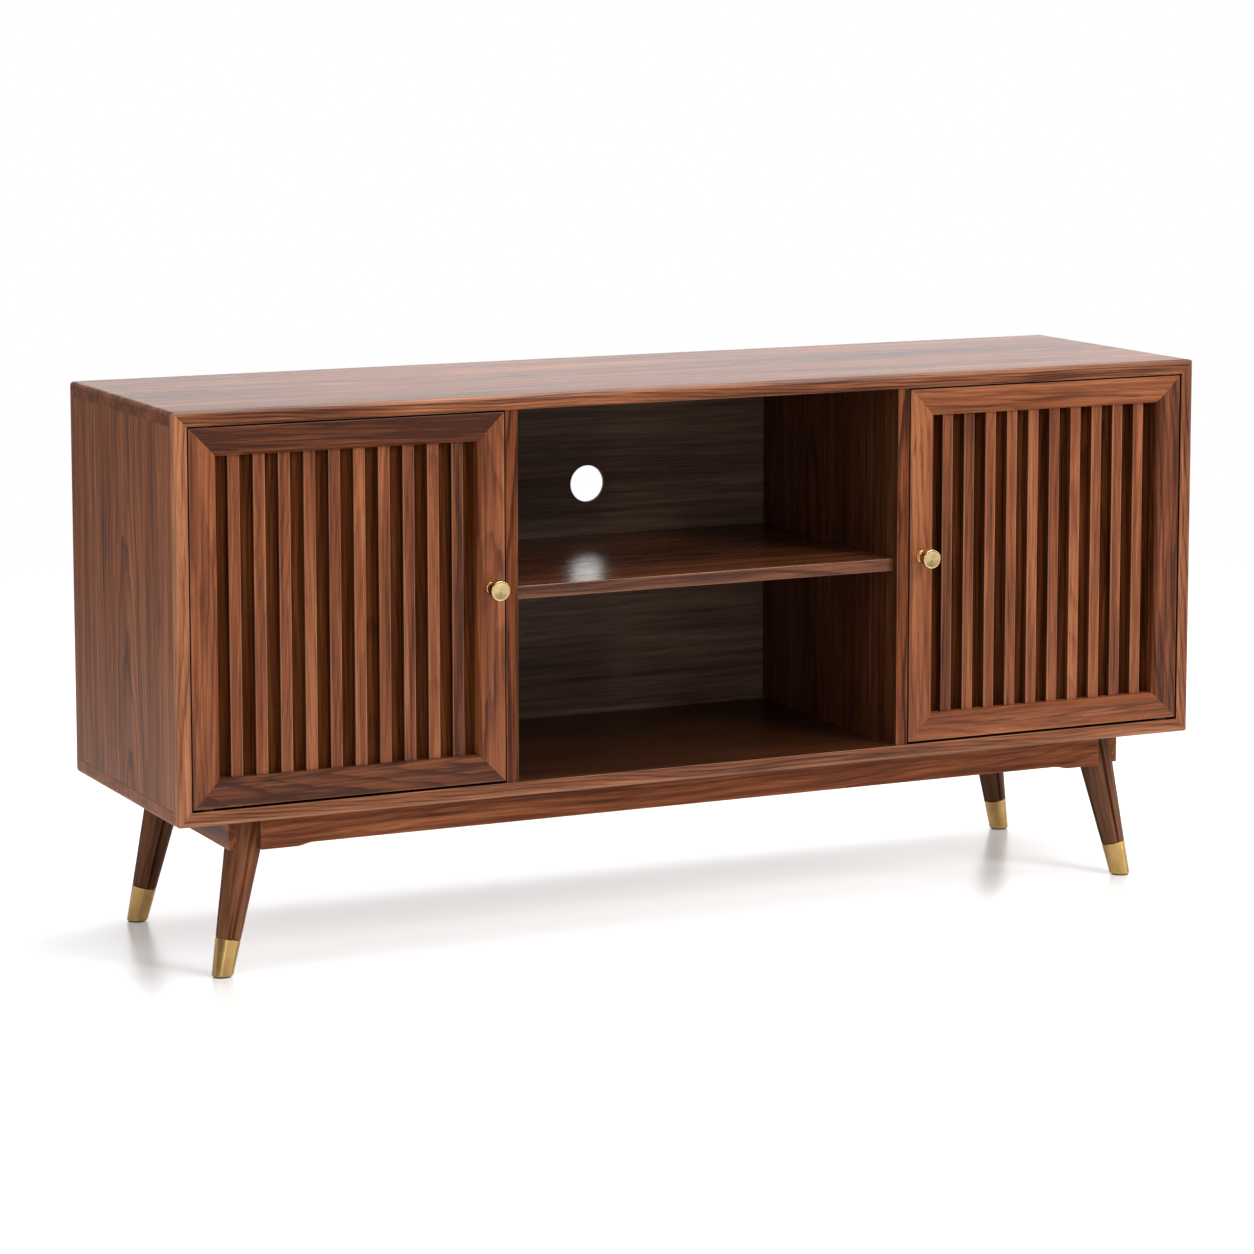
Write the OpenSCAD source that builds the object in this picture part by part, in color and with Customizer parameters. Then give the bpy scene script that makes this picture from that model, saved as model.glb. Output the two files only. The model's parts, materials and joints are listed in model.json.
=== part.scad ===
// Media cabinet: a walnut case on splayed legs, two slatted doors on pivot pins
// and an open centre bay with a fixed shelf.
// The origin is on the floor, at the centre of the whole cabinet's outline.
// +X is to the right, -Y is the front, +Z is up. Lengths in millimetres.

/* [Case] */
// Width of the case
case_w = 1400; // [1150:10:1700]
// Depth of the case, from its front face to its back edge
case_d = 384; // [320:2:470]
// Height of the case without its base
case_h = 492; // [400:2:600]
// Thickness of the top, bottom and side panels
panel_t = 18; // [15:1:22]
// Thickness of each divider
divider_t = 16; // [13:1:20]
// Clear width of the open centre bay
bay_w = 524; // [430:2:640]
// Depth of the solid lipping on the front edges
lip_t = 8; // [6:1:12]
// Radius of the round on the lipping's outer edge
lip_r = 6; // [2:0.5:8]
// How far the dividers stand back from the front face
divider_setback = 2; // [1:0.5:6]

/* [Back] */
// Thickness of the back panel
back_t = 6; // [4:0.5:9]
// How far the back panel lies inside the case's back edge
back_recess = 6; // [2:0.5:12]
// Width of the step that the back panel lies in
back_step = 8; // [6:0.5:9]
// Diameter of the cable hole
cable_hole_d = 48; // [30:1:70]
// Distance from the centre bay's left wall to the cable hole's centre
cable_hole_x = 264; // [60:2:340]
// Height of the cable hole's centre above the centre shelf
cable_hole_z = 68; // [45:1:100]
// Screws along the top edge of the back panel, and as many along the bottom
back_screw_count = 5; // [3:1:9]

/* [Shelves] */
// Thickness of the shelves
shelf_t = 16; // [13:1:20]
// Height of the shelves' top face above the case's underside
shelf_top = 257; // [200:1:300]
// How far the centre shelf stands back from the front face
shelf_setback = 13; // [6:1:40]
// Gap between a cupboard shelf and the door's inner corner as it swings past
cupboard_shelf_gap = 6; // [2:1:40]
// Gap between a cupboard shelf's edges and the walls
shelf_gap = 1; // [0.5:0.5:3]
// Diameter of the shelf pins
pin_d = 5; // [4:0.5:7]
// Length of a shelf pin in the wall, and its length under the shelf
pin_reach = 8; // [6:0.5:10]
// Distance from a cupboard shelf's front and back edges to its pins
pin_inset = 50; // [30:5:90]
// Height step between the shelf pin holes
pin_step = 32; // [25:1:40]

/* [Doors] */
// Gap round a door at its top and sides
door_gap = 2; // [1.5:0.1:3]
// Gap under a door
door_gap_bottom = 3; // [2:0.1:5]
// How far the doors stand back from the front face
door_setback = 1; // [0:0.5:4]
// Thickness of the door frame
door_t = 22; // [19:1:28]
// Width of the stiles and rails
frame_w = 34; // [28:1:48]
// Width of the bevel on the frame's inner edge
frame_bevel = 4; // [1:0.5:6]
// Thickness of the panel behind the slats
door_panel_t = 5; // [4:0.5:7]
// Width of the step that the door panel lies in
door_step = 7; // [5:0.5:12]

/* [Slats] */
// Width of a slat
slat_w = 15; // [10:0.5:22]
// Wanted gap between slats, which sets how many there are
slat_gap_wanted = 16.5; // [8:0.5:24]
// How far the slats' faces stand back from the door's face
slat_setback = 8; // [4.5:0.5:10]
// Chamfer on the slats' front edges
slat_chamfer = 1; // [0.3:0.1:2]

/* [Pivots] */
// Distance from a door's outer edge to its pivot
pivot_inset = 20; // [17:0.5:26]
// Room left at the tightest point of a door's swing
swing_play = 0.4; // [0.3:0.05:0.8]
// Diameter of the pivot pins
pivot_d = 8; // [6:0.5:9]
// Length of a pivot pin inside the door
pivot_in_door = 13; // [8:0.5:14]
// Length of a pivot pin inside the case panel
pivot_in_case = 11; // [7:0.5:12]
// Wall of the pivot bushes
bush_wall = 1.5; // [1:0.1:2.5]
// Width of the flange round a bush
bush_flange = 3; // [1.5:0.5:4]
// Play between a bush's flange and the door
bush_play = 0.3; // [0.2:0.05:0.6]

/* [Knobs and catches] */
// Diameter of a knob's head
knob_d = 24; // [18:0.5:32]
// Length of a knob, from the door to its face
knob_len = 27; // [22:0.5:36]
// Length of a knob's head
knob_head_len = 12; // [7:0.5:14]
// Diameter of a knob's stem
knob_stem_d = 11; // [9:0.5:14]
// Diameter of the collar where a knob meets the door
knob_collar_d = 16; // [13:0.5:20]
// Thickness of that collar
knob_collar_t = 2.5; // [1.5:0.5:4]
// Height of the knobs above the case's underside
knob_z = 259; // [180:1:300]
// Diameter of a knob's screw
knob_screw_d = 4; // [3:0.5:5]
// Width of a magnetic catch
catch_w = 44; // [36:1:56]
// Depth of a magnetic catch
catch_d = 15; // [11:0.5:22]
// Height of a magnetic catch
catch_h = 17; // [14:0.5:22]
// Distance from a door's inner edge to the middle of its catch
catch_inset = 75; // [60:1:110]
// Gap between a catch and the closed door
catch_gap = 0.3; // [0.2:0.05:1]
// Thickness of a strike plate
strike_t = 1.5; // [1:0.1:2.5]
// How much smaller a strike plate is than its catch's face, on each edge
strike_margin = 3; // [1:0.5:4]

/* [Base] */
// Height from the floor to the case's underside
base_h = 195; // [150:5:240]
// Height of the aprons next to the legs
apron_h = 42; // [32:1:54]
// How much shallower the front and back aprons are between the legs
apron_relief = 3.5; // [0:0.5:10]
// Length of an apron's deeper end
apron_end_len = 45; // [20:1:90]
// Length of the curve from the deeper end to the middle
apron_curve_len = 22; // [10:1:50]
// Thickness of the aprons
apron_t = 20; // [16:1:26]
// Distance from a leg's axis, at its top, to the aprons' outer faces
apron_cover = 32; // [29:0.5:34]
// Distance from a leg's axis, at its top, to the end of the front or back apron
long_apron_stop = 4.5; // [0:0.5:10]
// How far the side aprons run past a leg's axis at its top
side_apron_reach = 18; // [12:0.5:22]
// Width of the corner braces
brace_w = 20; // [14:1:30]
// Height of the corner braces
brace_h = 30; // [20:1:31]
// Gap between a corner brace and the leg's head
brace_gap = 1.5; // [1:0.5:6]

/* [Legs] */
// Distance from the case's side to the middle of a foot
foot_inset_side = 70; // [55:1:100]
// Distance from the case's front to the middle of a front foot
foot_inset_front = 50; // [40:1:80]
// Distance from the case's back edge to the middle of a back foot
foot_inset_back = 19; // [19:1:60]
// Outward tilt of the legs to the side, in degrees
tilt_side = 12; // [4:0.5:14]
// Outward tilt of the legs to the front or back, in degrees
tilt_end = 4.5; // [2:0.5:7]
// Diameter of a leg at the case's underside
leg_top_d = 49; // [42:1:54]
// Diameter of a leg at the floor
leg_foot_d = 24.6; // [20:0.2:30]
// Length of the brass ferrules
ferrule_len = 44; // [30:1:60]
// Wall of the ferrules
ferrule_wall = 1.2; // [0.8:0.1:2]
// How far the ferrules stand proud of the wood
ferrule_proud = 0.3; // [0:0.1:0.6]
// Height of the ferrules' level ends above the floor
pad_t = 1.6; // [1:0.1:6]
// Diameter of a foot pad
pad_d = 21; // [16:0.5:22]
// Diameter of a leg's bolt
bolt_d = 8; // [6:0.5:10]
// Length of that bolt inside the leg
bolt_in_leg = 42; // [30:1:60]
// Outer diameter of the threaded insert over a leg
insert_d = 13; // [12:0.5:15]
// Length of the insert and of the bolt inside it
insert_len = 12; // [8:0.5:13]

/* [Dowels] */
// Diameter of the dowels
dowel_d = 8; // [6:0.5:9]
// Length of a dowel inside a panel's face
dowel_in_face = 11; // [8:0.5:12]
// Length of a dowel inside a panel's edge
dowel_in_edge = 19; // [12:0.5:26]
// Distance from the front face or the back panel to the end dowels
dowel_inset = 45; // [30:1:70]

/* [Clearances] */
// Gap round what is glued or pressed into a bore or a step
seat_play = 0.05; // [0.02:0.01:0.2]
// Radial running clearance of the pivot pins
running_play = 0.05; // [0.01:0.01:0.1]

/* [Hidden] */
$fn = 64;

walnut = "#7a4c36";
dark_walnut = "#5a3626";
pale_wood = "#c9a878";
brass = "#b9954f";
steel = "#b8babd";
black = "#2a2523";

left = -1;
right = 1;
front = -1;
back = 1;
sides = [left, right];
ends = [front, back];
over = 1;                     // how far a cutter runs past the face that it leaves

// Case
front_y = (knob_len - door_setback - case_d) / 2;
back_y = front_y + case_d;
case_top = base_h + case_h;
floor_z = base_h + panel_t;   // top face of the bottom panel
ceiling_z = case_top - panel_t;
board_y = front_y + lip_t;    // front edge of the boards behind the lipping
side_in = case_w / 2 - panel_t;
divider_in = bay_w / 2;
divider_out = divider_in + divider_t;
back_face_y = back_y - back_recess - back_t;
divider_y = front_y + divider_setback;

// Shelves
shelf_z = base_h + shelf_top - shelf_t;
pin_z = shelf_z - pin_d / 2;
cable_x = cable_hole_x - divider_in;
cable_z = base_h + shelf_top + cable_hole_z;

// Doors, given for the left one: the right one is its mirror image
door_x = door_gap - side_in;
door_y = front_y + door_setback;
door_z = floor_z + door_gap_bottom;
door_w = side_in - divider_out - 2 * door_gap;
door_h = ceiling_z - floor_z - door_gap - door_gap_bottom;
opening_w = door_w - 2 * frame_w;
slat_count = round((opening_w - slat_gap_wanted) / (slat_w + slat_gap_wanted));
slat_gap = (opening_w - slat_count * slat_w) / (slat_count + 1);
slat_t = door_t - door_panel_t - slat_setback;
pivot_x = door_x + pivot_inset;
pivot_back = sqrt(pow(pivot_inset + door_gap - swing_play, 2) - pow(pivot_inset, 2));
pivot_y = door_y + pivot_back;
corner_sweep = norm([pivot_inset, door_t - pivot_back]);
cupboard_shelf_y = pivot_y + corner_sweep + cupboard_shelf_gap;
bush_r = pivot_d / 2 + running_play + bush_wall;
knob_x = door_x + door_w - frame_w / 2;
catch_x = door_x + door_w - catch_inset;
catch_y = door_y + door_t + catch_gap;
strike_w = catch_w - 2 * strike_margin;
strike_top = ceiling_z - door_gap - strike_margin;
strike_low = ceiling_z - catch_h + strike_margin;
knob_screw_in_knob = knob_len / 2;
knob_screw_head_d = 2 * knob_screw_d;
knob_screw_head_t = 2.4;
screw_d = 3.5;                // wood screws of the back panel, braces and catches
screw_head_d = 7;
screw_head_t = 2.2;
screw_in_panel = 12;
back_screw_len = 20;
brace_screw_len = brace_h + screw_in_panel;
catch_screw_len = catch_h + screw_in_panel;

// Legs, given for the front left corner, with the origin at its foot's middle on the floor
leg_len = base_h / (cos(tilt_side) * cos(tilt_end));
leg_run_x = base_h * tan(tilt_side);
leg_run_y = base_h * tan(tilt_end) / cos(tilt_side);
foot_span = case_d - foot_inset_front - foot_inset_back;
foot_mid_y = front_y + foot_inset_front + foot_span / 2;
apron_face_x = leg_run_x - apron_cover;
apron_face_y = leg_run_y - apron_cover;
long_apron_end = leg_run_x + long_apron_stop;
side_apron_end = leg_run_y - side_apron_reach;
foot_x = foot_inset_side - case_w / 2;
apron_z = base_h - apron_h;
// The braces cross the corner just clear of the leg's head
brace_start = leg_run_x + leg_run_y + (leg_top_d / 2 + brace_gap) * sqrt(2)
    - (apron_face_x + apron_face_y + 2 * apron_t);

function leg_r(along) = (leg_foot_d + (leg_top_d - leg_foot_d) * along / leg_len) / 2;
function spread(low, high, count) = [for (i = [0 : count - 1]) low + (high - low) * i / (count - 1)];

dowel_rows = spread(front_y + dowel_inset, back_face_y - dowel_inset, 3);
shelf_dowel_rows = [front_y + shelf_setback + 2 * dowel_inset, back_face_y - 2 * dowel_inset];
pin_rows = [cupboard_shelf_y + pin_inset, back_face_y - shelf_gap - pin_inset];

// ---- Helpers -------------------------------------------------------------

// A box from its low corner to its high corner
module block(low, high) {
    translate(low) cube(high - low);
}

// Draws the left-hand piece as it is, or its mirror image on the right
module hand(side) {
    mirror([side == right ? 1 : 0, 0, 0]) children();
}

// Stands a drawing up: its x stays, its y points up and its z points to the front
module stand_up() {
    rotate([90, 0, 0]) children();
}

// Runs a profile, drawn as [inward, forward], along x
module run_along(length) {
    rotate([90, 0, 90]) linear_extrude(length) children();
}

// Sets one side of a frame in place: 0 bottom, 1 right, 2 top, 3 left
module frame_place(edge, w, h) {
    corner = [[0, 0, 0], [w, 0, 0], [w, h, 0], [0, h, 0]];
    translate(corner[edge]) rotate([0, 0, 90 * edge]) children();
}

// A strip with mitred ends, its outer edge along x and its face at z = 0
module mitred_strip(length, width, depth) {
    translate([0, 0, -depth])
        linear_extrude(depth)
            polygon([[0, 0], [length, 0], [length - width, width], [width, width]]);
}

// A wood screw along +z, with its head's flat face at z = 0
module wood_screw(length, play = 0) {
    cylinder(h = screw_head_t + play, d1 = screw_head_d + 2 * play, d2 = screw_d + 2 * play);
    cylinder(h = length + play, d = screw_d + 2 * play);
}

// ---- Case ----------------------------------------------------------------

// Vertical dowels in the joints of the case's sides
module side_dowel_places() {
    for (x = [-1, 1] * (case_w - panel_t) / 2, y = dowel_rows) {
        translate([x, y, ceiling_z]) children();
        translate([x, y, floor_z]) mirror([0, 0, 1]) children();
    }
}

// Vertical dowels in the joints of the dividers
module divider_dowel_places() {
    for (x = [-1, 1] * (divider_in + divider_t / 2), y = dowel_rows) {
        translate([x, y, ceiling_z]) children();
        translate([x, y, floor_z]) mirror([0, 0, 1]) children();
    }
}

// Level dowels that carry the centre shelf, pointing into the dividers
module shelf_dowel_places() {
    for (side = sides, y = shelf_dowel_rows)
        hand(side) translate([-divider_in, y, shelf_z + shelf_t / 2]) rotate([0, -90, 0]) children();
}

// A dowel from an edge, below z = 0, into a face, above it
module dowel(play = 0) {
    translate([0, 0, -dowel_in_edge - play])
        cylinder(h = dowel_in_edge + dowel_in_face + 2 * play, d = dowel_d + 2 * play);
}

// Screws through the back panel, pointing to the front
module back_screw_places() {
    side_line = side_in + back_step / 2;
    z_low = floor_z - back_step / 2;
    z_high = ceiling_z + back_step / 2;
    z_third = (ceiling_z - floor_z) / 3;
    turn = [90, 0, 0];
    for (x = spread(-side_line, side_line, back_screw_count), z = [z_low, z_high])
        translate([x, back_face_y + back_t, z]) rotate(turn) children();
    for (x = [-side_line, side_line], z = [floor_z + z_third, ceiling_z - z_third])
        translate([x, back_face_y + back_t, z]) rotate(turn) children();
    for (x = [-1, 1] * (divider_in + divider_t / 2))
        translate([x, back_face_y + back_t, shelf_z + shelf_t + z_third / 2]) rotate(turn) children();
}

module back_screw_holes() {
    back_screw_places() wood_screw(back_screw_len, seat_play);
}

// The space that the back panel lies in, open to the back
module back_space() {
    reach = side_in + back_step;
    block([-reach, back_face_y, floor_z - back_step], [reach, back_y + over, ceiling_z + back_step]);
}

module pivot_bores() {
    for (side = sides) hand(side) {
        translate([pivot_x, pivot_y, ceiling_z - over])
            cylinder(h = pivot_in_case + over + seat_play, r = bush_r + seat_play);
        translate([pivot_x, pivot_y, floor_z - pivot_in_case - seat_play])
            cylinder(h = pivot_in_case + over + seat_play, r = bush_r + seat_play);
    }
}

module top_panel() {
    color(walnut) difference() {
        block([-case_w / 2, board_y, ceiling_z], [case_w / 2, back_y, case_top]);
        back_space();
        back_screw_holes();
        side_dowel_places() dowel(seat_play);
        divider_dowel_places() dowel(seat_play);
        pivot_bores();
        catch_screw_places() wood_screw(catch_screw_len, seat_play);
    }
}

module bottom_panel() {
    color(walnut) difference() {
        block([-case_w / 2, board_y, base_h], [case_w / 2, back_y, floor_z]);
        back_space();
        back_screw_holes();
        side_dowel_places() dowel(seat_play);
        divider_dowel_places() dowel(seat_play);
        pivot_bores();
        each_leg() insert_body(seat_play);
        each_leg() brace_screw_places() wood_screw(brace_screw_len, seat_play);
    }
}

module side_panel(side) {
    color(walnut) hand(side) difference() {
        block([-case_w / 2, board_y, floor_z], [-side_in, back_y, ceiling_z]);
        back_space();
        back_screw_holes();
        side_dowel_places() dowel(seat_play);
        pin_holes(-side_in, left);
    }
}

module divider(side) {
    color(walnut) hand(side) difference() {
        block([-divider_out, divider_y, floor_z], [-divider_in, back_face_y, ceiling_z]);
        back_screw_holes();
        divider_dowel_places() dowel(seat_play);
        shelf_dowel_places() dowel(seat_play);
        pin_holes(-divider_out, right);
    }
}

module back_panel() {
    reach = side_in + back_step - seat_play;
    color(dark_walnut) difference() {
        block([-reach, back_face_y, floor_z - back_step + seat_play],
              [reach, back_face_y + back_t, ceiling_z + back_step - seat_play]);
        back_screw_holes();
        translate([cable_x, back_face_y - over, cable_z])
            rotate([-90, 0, 0]) cylinder(h = back_t + 2 * over, d = cable_hole_d);
    }
}

// The lipping's cross-section, with its outer front edge rounded
module lip_profile() {
    difference() {
        translate([0, -lip_t]) square([panel_t, lip_t]);
        difference() {
            translate([0, -lip_r]) square(lip_r);
            translate([lip_r, -lip_r]) circle(r = lip_r);
        }
    }
}

module lipping(edge) {
    length = edge % 2 == 0 ? case_w : case_h;
    color(walnut) difference() {
        translate([-case_w / 2, front_y, base_h]) stand_up()
            frame_place(edge, case_w, case_h)
                intersection() {
                    mitred_strip(length, panel_t, lip_t);
                    run_along(length) lip_profile();
                }
        pivot_bores();
    }
}

// ---- Shelves -------------------------------------------------------------

module centre_shelf() {
    color(walnut) difference() {
        block([-divider_in, front_y + shelf_setback, shelf_z], [divider_in, back_face_y, shelf_z + shelf_t]);
        shelf_dowel_places() dowel(seat_play);
    }
}

module cupboard_shelf(side) {
    color(walnut) hand(side)
        block([shelf_gap - side_in, cupboard_shelf_y, shelf_z],
              [-divider_out - shelf_gap, back_face_y - shelf_gap, shelf_z + shelf_t]);
}

// Rows of holes in a wall at x, which opens towards the given side
module pin_holes(x, wall_side) {
    for (y = pin_rows, row = [-1, 0, 1])
        translate([x - wall_side * over, y, pin_z + row * pin_step])
            rotate([0, 90 * wall_side, 0])
                cylinder(h = pin_reach + over + seat_play, d = pin_d + 2 * seat_play);
}

module shelf_pins() {
    color(steel) for (side = sides, x = [-side_in, -divider_out], y = pin_rows)
        hand(side) translate([x - pin_reach, y, pin_z]) rotate([0, 90, 0])
            cylinder(h = 2 * pin_reach, d = pin_d);
}

module case_dowels() {
    color(pale_wood) side_dowel_places() dowel();
}

module divider_dowels() {
    color(pale_wood) {
        divider_dowel_places() dowel();
        shelf_dowel_places() dowel();
    }
}

module back_screws() {
    color(steel) back_screw_places() wood_screw(back_screw_len);
}

// ---- Base ----------------------------------------------------------------

// Draws a piece of the front left corner, with its origin at the foot, in one corner
module corner(side, end) {
    translate([0, foot_mid_y, 0])
        mirror([side == right ? 1 : 0, 0, 0])
            mirror([0, end == back ? 1 : 0, 0])
                translate([foot_x, -foot_span / 2, 0]) children();
}

module each_leg() {
    for (side = sides, end = ends) corner(side, end) children();
}

// Turns +z onto the leg's axis
module on_leg_axis() {
    rotate([-tilt_end, tilt_side, 0]) children();
}

// The deeper ends and shallower middle of a long apron, as seen from the front
module long_apron_outline(length) {
    steps = 12;
    rise = [for (i = [0 : steps])
        [apron_end_len + apron_curve_len * i / steps, apron_relief * (1 - cos(180 * i / steps)) / 2]];
    fall = [for (i = [steps : -1 : 0]) [length - rise[i][0], rise[i][1]]];
    polygon(concat([[0, apron_h], [0, 0]], rise, fall, [[length, 0], [length, apron_h]]));
}

module long_apron(end) {
    length = case_w - 2 * (foot_inset_side + long_apron_end);
    outer_y = end * (foot_span / 2 - apron_face_y);
    color(walnut)
        translate([-length / 2, foot_mid_y + outer_y + (end == front ? apron_t : 0), apron_z])
            stand_up() linear_extrude(apron_t) long_apron_outline(length);
}

// One side apron's own space, in its corner's frame, as far as the middle
module side_apron_half(play = 0) {
    block([apron_face_x - play, side_apron_end - play, apron_z - play],
          [apron_face_x + apron_t + play, foot_span / 2, base_h + over]);
}

module side_apron(side) {
    half = foot_span / 2 - side_apron_end;
    color(walnut) difference() {
        hand(side)
            block([foot_x + apron_face_x, foot_mid_y - half, apron_z],
                  [foot_x + apron_face_x + apron_t, foot_mid_y + half, base_h]);
        each_leg() on_leg_axis() leg_bolt(seat_play);
    }
}

// The front or back apron's space, in its corner's frame
module long_apron_space(play) {
    block([long_apron_end - play, apron_face_y - play, apron_z - play],
          [long_apron_end + leg_top_d, apron_face_y + apron_t + play, base_h + over]);
}

// A length of the leg's cone, made thicker or thinner than the leg
module leg_cone(from, to, more) {
    translate([0, 0, from])
        cylinder(h = to - from, r1 = leg_r(from) + more, r2 = leg_r(to) + more);
}

// Cuts a foot's parts off level
module above(level) {
    intersection() {
        children();
        translate([-leg_top_d, -leg_top_d, level]) cube([2, 2, 2] * leg_top_d);
    }
}

module leg(side, end) {
    tenon_end = pad_t + ferrule_len;
    past_top = leg_top_d / 4;
    color(walnut) corner(side, end) difference() {
        union() {
            on_leg_axis() leg_cone(tenon_end, leg_len + past_top, 0);
            above(pad_t + ferrule_wall) on_leg_axis() leg_cone(-pad_d / 2, tenon_end, -ferrule_wall);
        }
        translate([-leg_top_d, -leg_top_d, base_h]) cube([4, 4, 1] * leg_top_d);
        side_apron_half(seat_play);
        long_apron_space(seat_play);
        on_leg_axis() leg_bolt(seat_play);
    }
}

module ferrule(side, end) {
    top = pad_t + ferrule_len;
    color(brass) corner(side, end) difference() {
        above(pad_t) on_leg_axis() leg_cone(-pad_d / 2, top, ferrule_proud);
        above(pad_t + ferrule_wall) on_leg_axis()
            leg_cone(-pad_d / 2, top + ferrule_wall, seat_play - ferrule_wall);
    }
}

module foot_pads() {
    color(black) each_leg() intersection() {
        on_leg_axis() translate([0, 0, -pad_d / 2]) cylinder(h = pad_t + pad_d, d = pad_d);
        translate([-pad_d, -pad_d, 0]) cube([2 * pad_d, 2 * pad_d, pad_t]);
    }
}

module leg_bolt(play = 0) {
    translate([0, 0, leg_len - bolt_in_leg - play])
        cylinder(h = bolt_in_leg + insert_len + 2 * play, d = bolt_d + 2 * play);
}

module leg_bolts() {
    color(steel) each_leg() on_leg_axis() leg_bolt();
}

// The threaded insert's outer shape, cut off level with the case's underside
module insert_body(play = 0) {
    intersection() {
        on_leg_axis() translate([0, 0, leg_len - insert_d / 2])
            cylinder(h = insert_len + insert_d / 2 + play, d = insert_d + 2 * play);
        translate([leg_run_x - insert_d, leg_run_y - insert_d, base_h - (play > 0 ? over : 0)])
            cube(2 * insert_d);
    }
}

module leg_inserts() {
    color(brass) each_leg() difference() {
        insert_body();
        on_leg_axis() leg_bolt(seat_play);
    }
}

module brace_screw_places() {
    reach = (brace_start + brace_w / sqrt(2)) / 4;
    corner_x = apron_face_x + apron_t;
    corner_y = apron_face_y + apron_t;
    middle = (brace_start + brace_w * sqrt(2) / 2) / 2;
    for (shift = [-reach, reach])
        translate([corner_x + middle + shift, corner_y + middle - shift, base_h - brace_h]) children();
}

module corner_braces() {
    far = brace_start + brace_w * sqrt(2);
    color(pale_wood) each_leg() difference() {
        translate([apron_face_x + apron_t, apron_face_y + apron_t, base_h - brace_h])
            linear_extrude(brace_h)
                polygon([[brace_start, 0], [far, 0], [0, far], [0, brace_start]]);
        brace_screw_places() wood_screw(brace_screw_len, seat_play);
    }
}

module brace_screws() {
    color(steel) each_leg() brace_screw_places() wood_screw(brace_screw_len);
}

// ---- Doors ---------------------------------------------------------------

// The left door's own frame: x from its hinge edge, y up, z out of its face
module in_door() {
    translate([door_x, door_y, door_z]) stand_up() children();
}

// One side of a door frame: 0 bottom rail, 1 lock stile, 2 top rail, 3 hinge stile
module door_member(edge) {
    length = edge % 2 == 0 ? door_w : door_h;
    in_door() frame_place(edge, door_w, door_h) difference() {
        mitred_strip(length, frame_w, door_t);
        run_along(length)
            polygon([[frame_w - frame_bevel, 0], [frame_w + over, frame_bevel + over],
                     [frame_w + over, -frame_bevel - over]]);
        translate([0, frame_w - door_step, -door_t - over])
            cube([length, door_step + over, door_panel_t + over]);
    }
}

module pivot_pin_places() {
    translate([pivot_x, pivot_y, door_z + door_h]) children();
    translate([pivot_x, pivot_y, door_z]) mirror([0, 0, 1]) children();
}

module pin_bores() {
    pivot_pin_places() translate([0, 0, -pivot_in_door - seat_play])
        cylinder(h = pivot_in_door + over, d = pivot_d + 2 * seat_play);
}

module hinge_stile(side) {
    color(walnut) hand(side) door_member(3);
}

module lock_stile(side) {
    color(walnut) hand(side) difference() {
        door_member(1);
        knob_place() translate([0, 0, -door_t - over])
            cylinder(h = door_t + 2 * over, d = knob_screw_d + 2 * seat_play);
    }
}

module top_rail(side) {
    color(walnut) hand(side) difference() {
        door_member(2);
        pin_bores();
        strike_plate(seat_play);
    }
}

module bottom_rail(side) {
    color(walnut) hand(side) difference() {
        door_member(0);
        pin_bores();
    }
}

module door_panel(side) {
    edge = frame_w - door_step + seat_play;
    color(dark_walnut) hand(side) in_door()
        block([edge, edge, -door_t], [door_w - edge, door_h - edge, door_panel_t - door_t]);
}

module slats(side) {
    outline = [[slat_chamfer, 0], [slat_w - slat_chamfer, 0], [slat_w, slat_chamfer],
               [slat_w, slat_t], [0, slat_t], [0, slat_chamfer]];
    color(walnut) hand(side) in_door() for (i = [0 : slat_count - 1])
        translate([frame_w + slat_gap + i * (slat_w + slat_gap), frame_w, -slat_setback])
            rotate([-90, 0, 0]) linear_extrude(door_h - 2 * frame_w) polygon(outline);
}

// The point where the left knob meets its door, with +z out of the door's face
module knob_place() {
    translate([knob_x, door_y, base_h + knob_z]) stand_up() children();
}

module knob(side) {
    edge = 1;
    stem_r = knob_stem_d / 2;
    collar_r = knob_collar_d / 2;
    head_r = knob_d / 2;
    head_z = knob_len - knob_head_len;
    color(brass) hand(side) knob_place() difference() {
        rotate_extrude()
            polygon([[0, 0], [collar_r, 0], [collar_r, knob_collar_t - edge],
                     [collar_r - edge, knob_collar_t], [stem_r, knob_collar_t], [stem_r, head_z],
                     [head_r - edge, head_z], [head_r, head_z + edge], [head_r, knob_len - edge],
                     [head_r - edge, knob_len], [0, knob_len]]);
        translate([0, 0, -over])
            cylinder(h = knob_screw_in_knob + over + seat_play, d = knob_screw_d + 2 * seat_play);
    }
}

module knob_screw(side) {
    color(steel) hand(side) knob_place() {
        translate([0, 0, -door_t]) cylinder(h = door_t + knob_screw_in_knob, d = knob_screw_d);
        translate([0, 0, -door_t - knob_screw_head_t])
            cylinder(h = knob_screw_head_t, d = knob_screw_head_d);
    }
}

module pivot_pins(side) {
    color(steel) hand(side) {
        translate([pivot_x, pivot_y, door_z + door_h - pivot_in_door])
            cylinder(h = pivot_in_door + door_gap + pivot_in_case, d = pivot_d);
        translate([pivot_x, pivot_y, floor_z - pivot_in_case])
            cylinder(h = pivot_in_case + door_gap_bottom + pivot_in_door, d = pivot_d);
    }
}

// A bush with its flange in the gap, pointing up from a panel's inner face
module bush(gap) {
    difference() {
        union() {
            cylinder(h = gap - bush_play, r = bush_r + bush_flange);
            translate([0, 0, -pivot_in_case]) cylinder(h = pivot_in_case, r = bush_r);
        }
        translate([0, 0, -pivot_in_case - over])
            cylinder(h = pivot_in_case + gap + 2 * over, d = pivot_d + 2 * running_play);
    }
}

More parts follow.
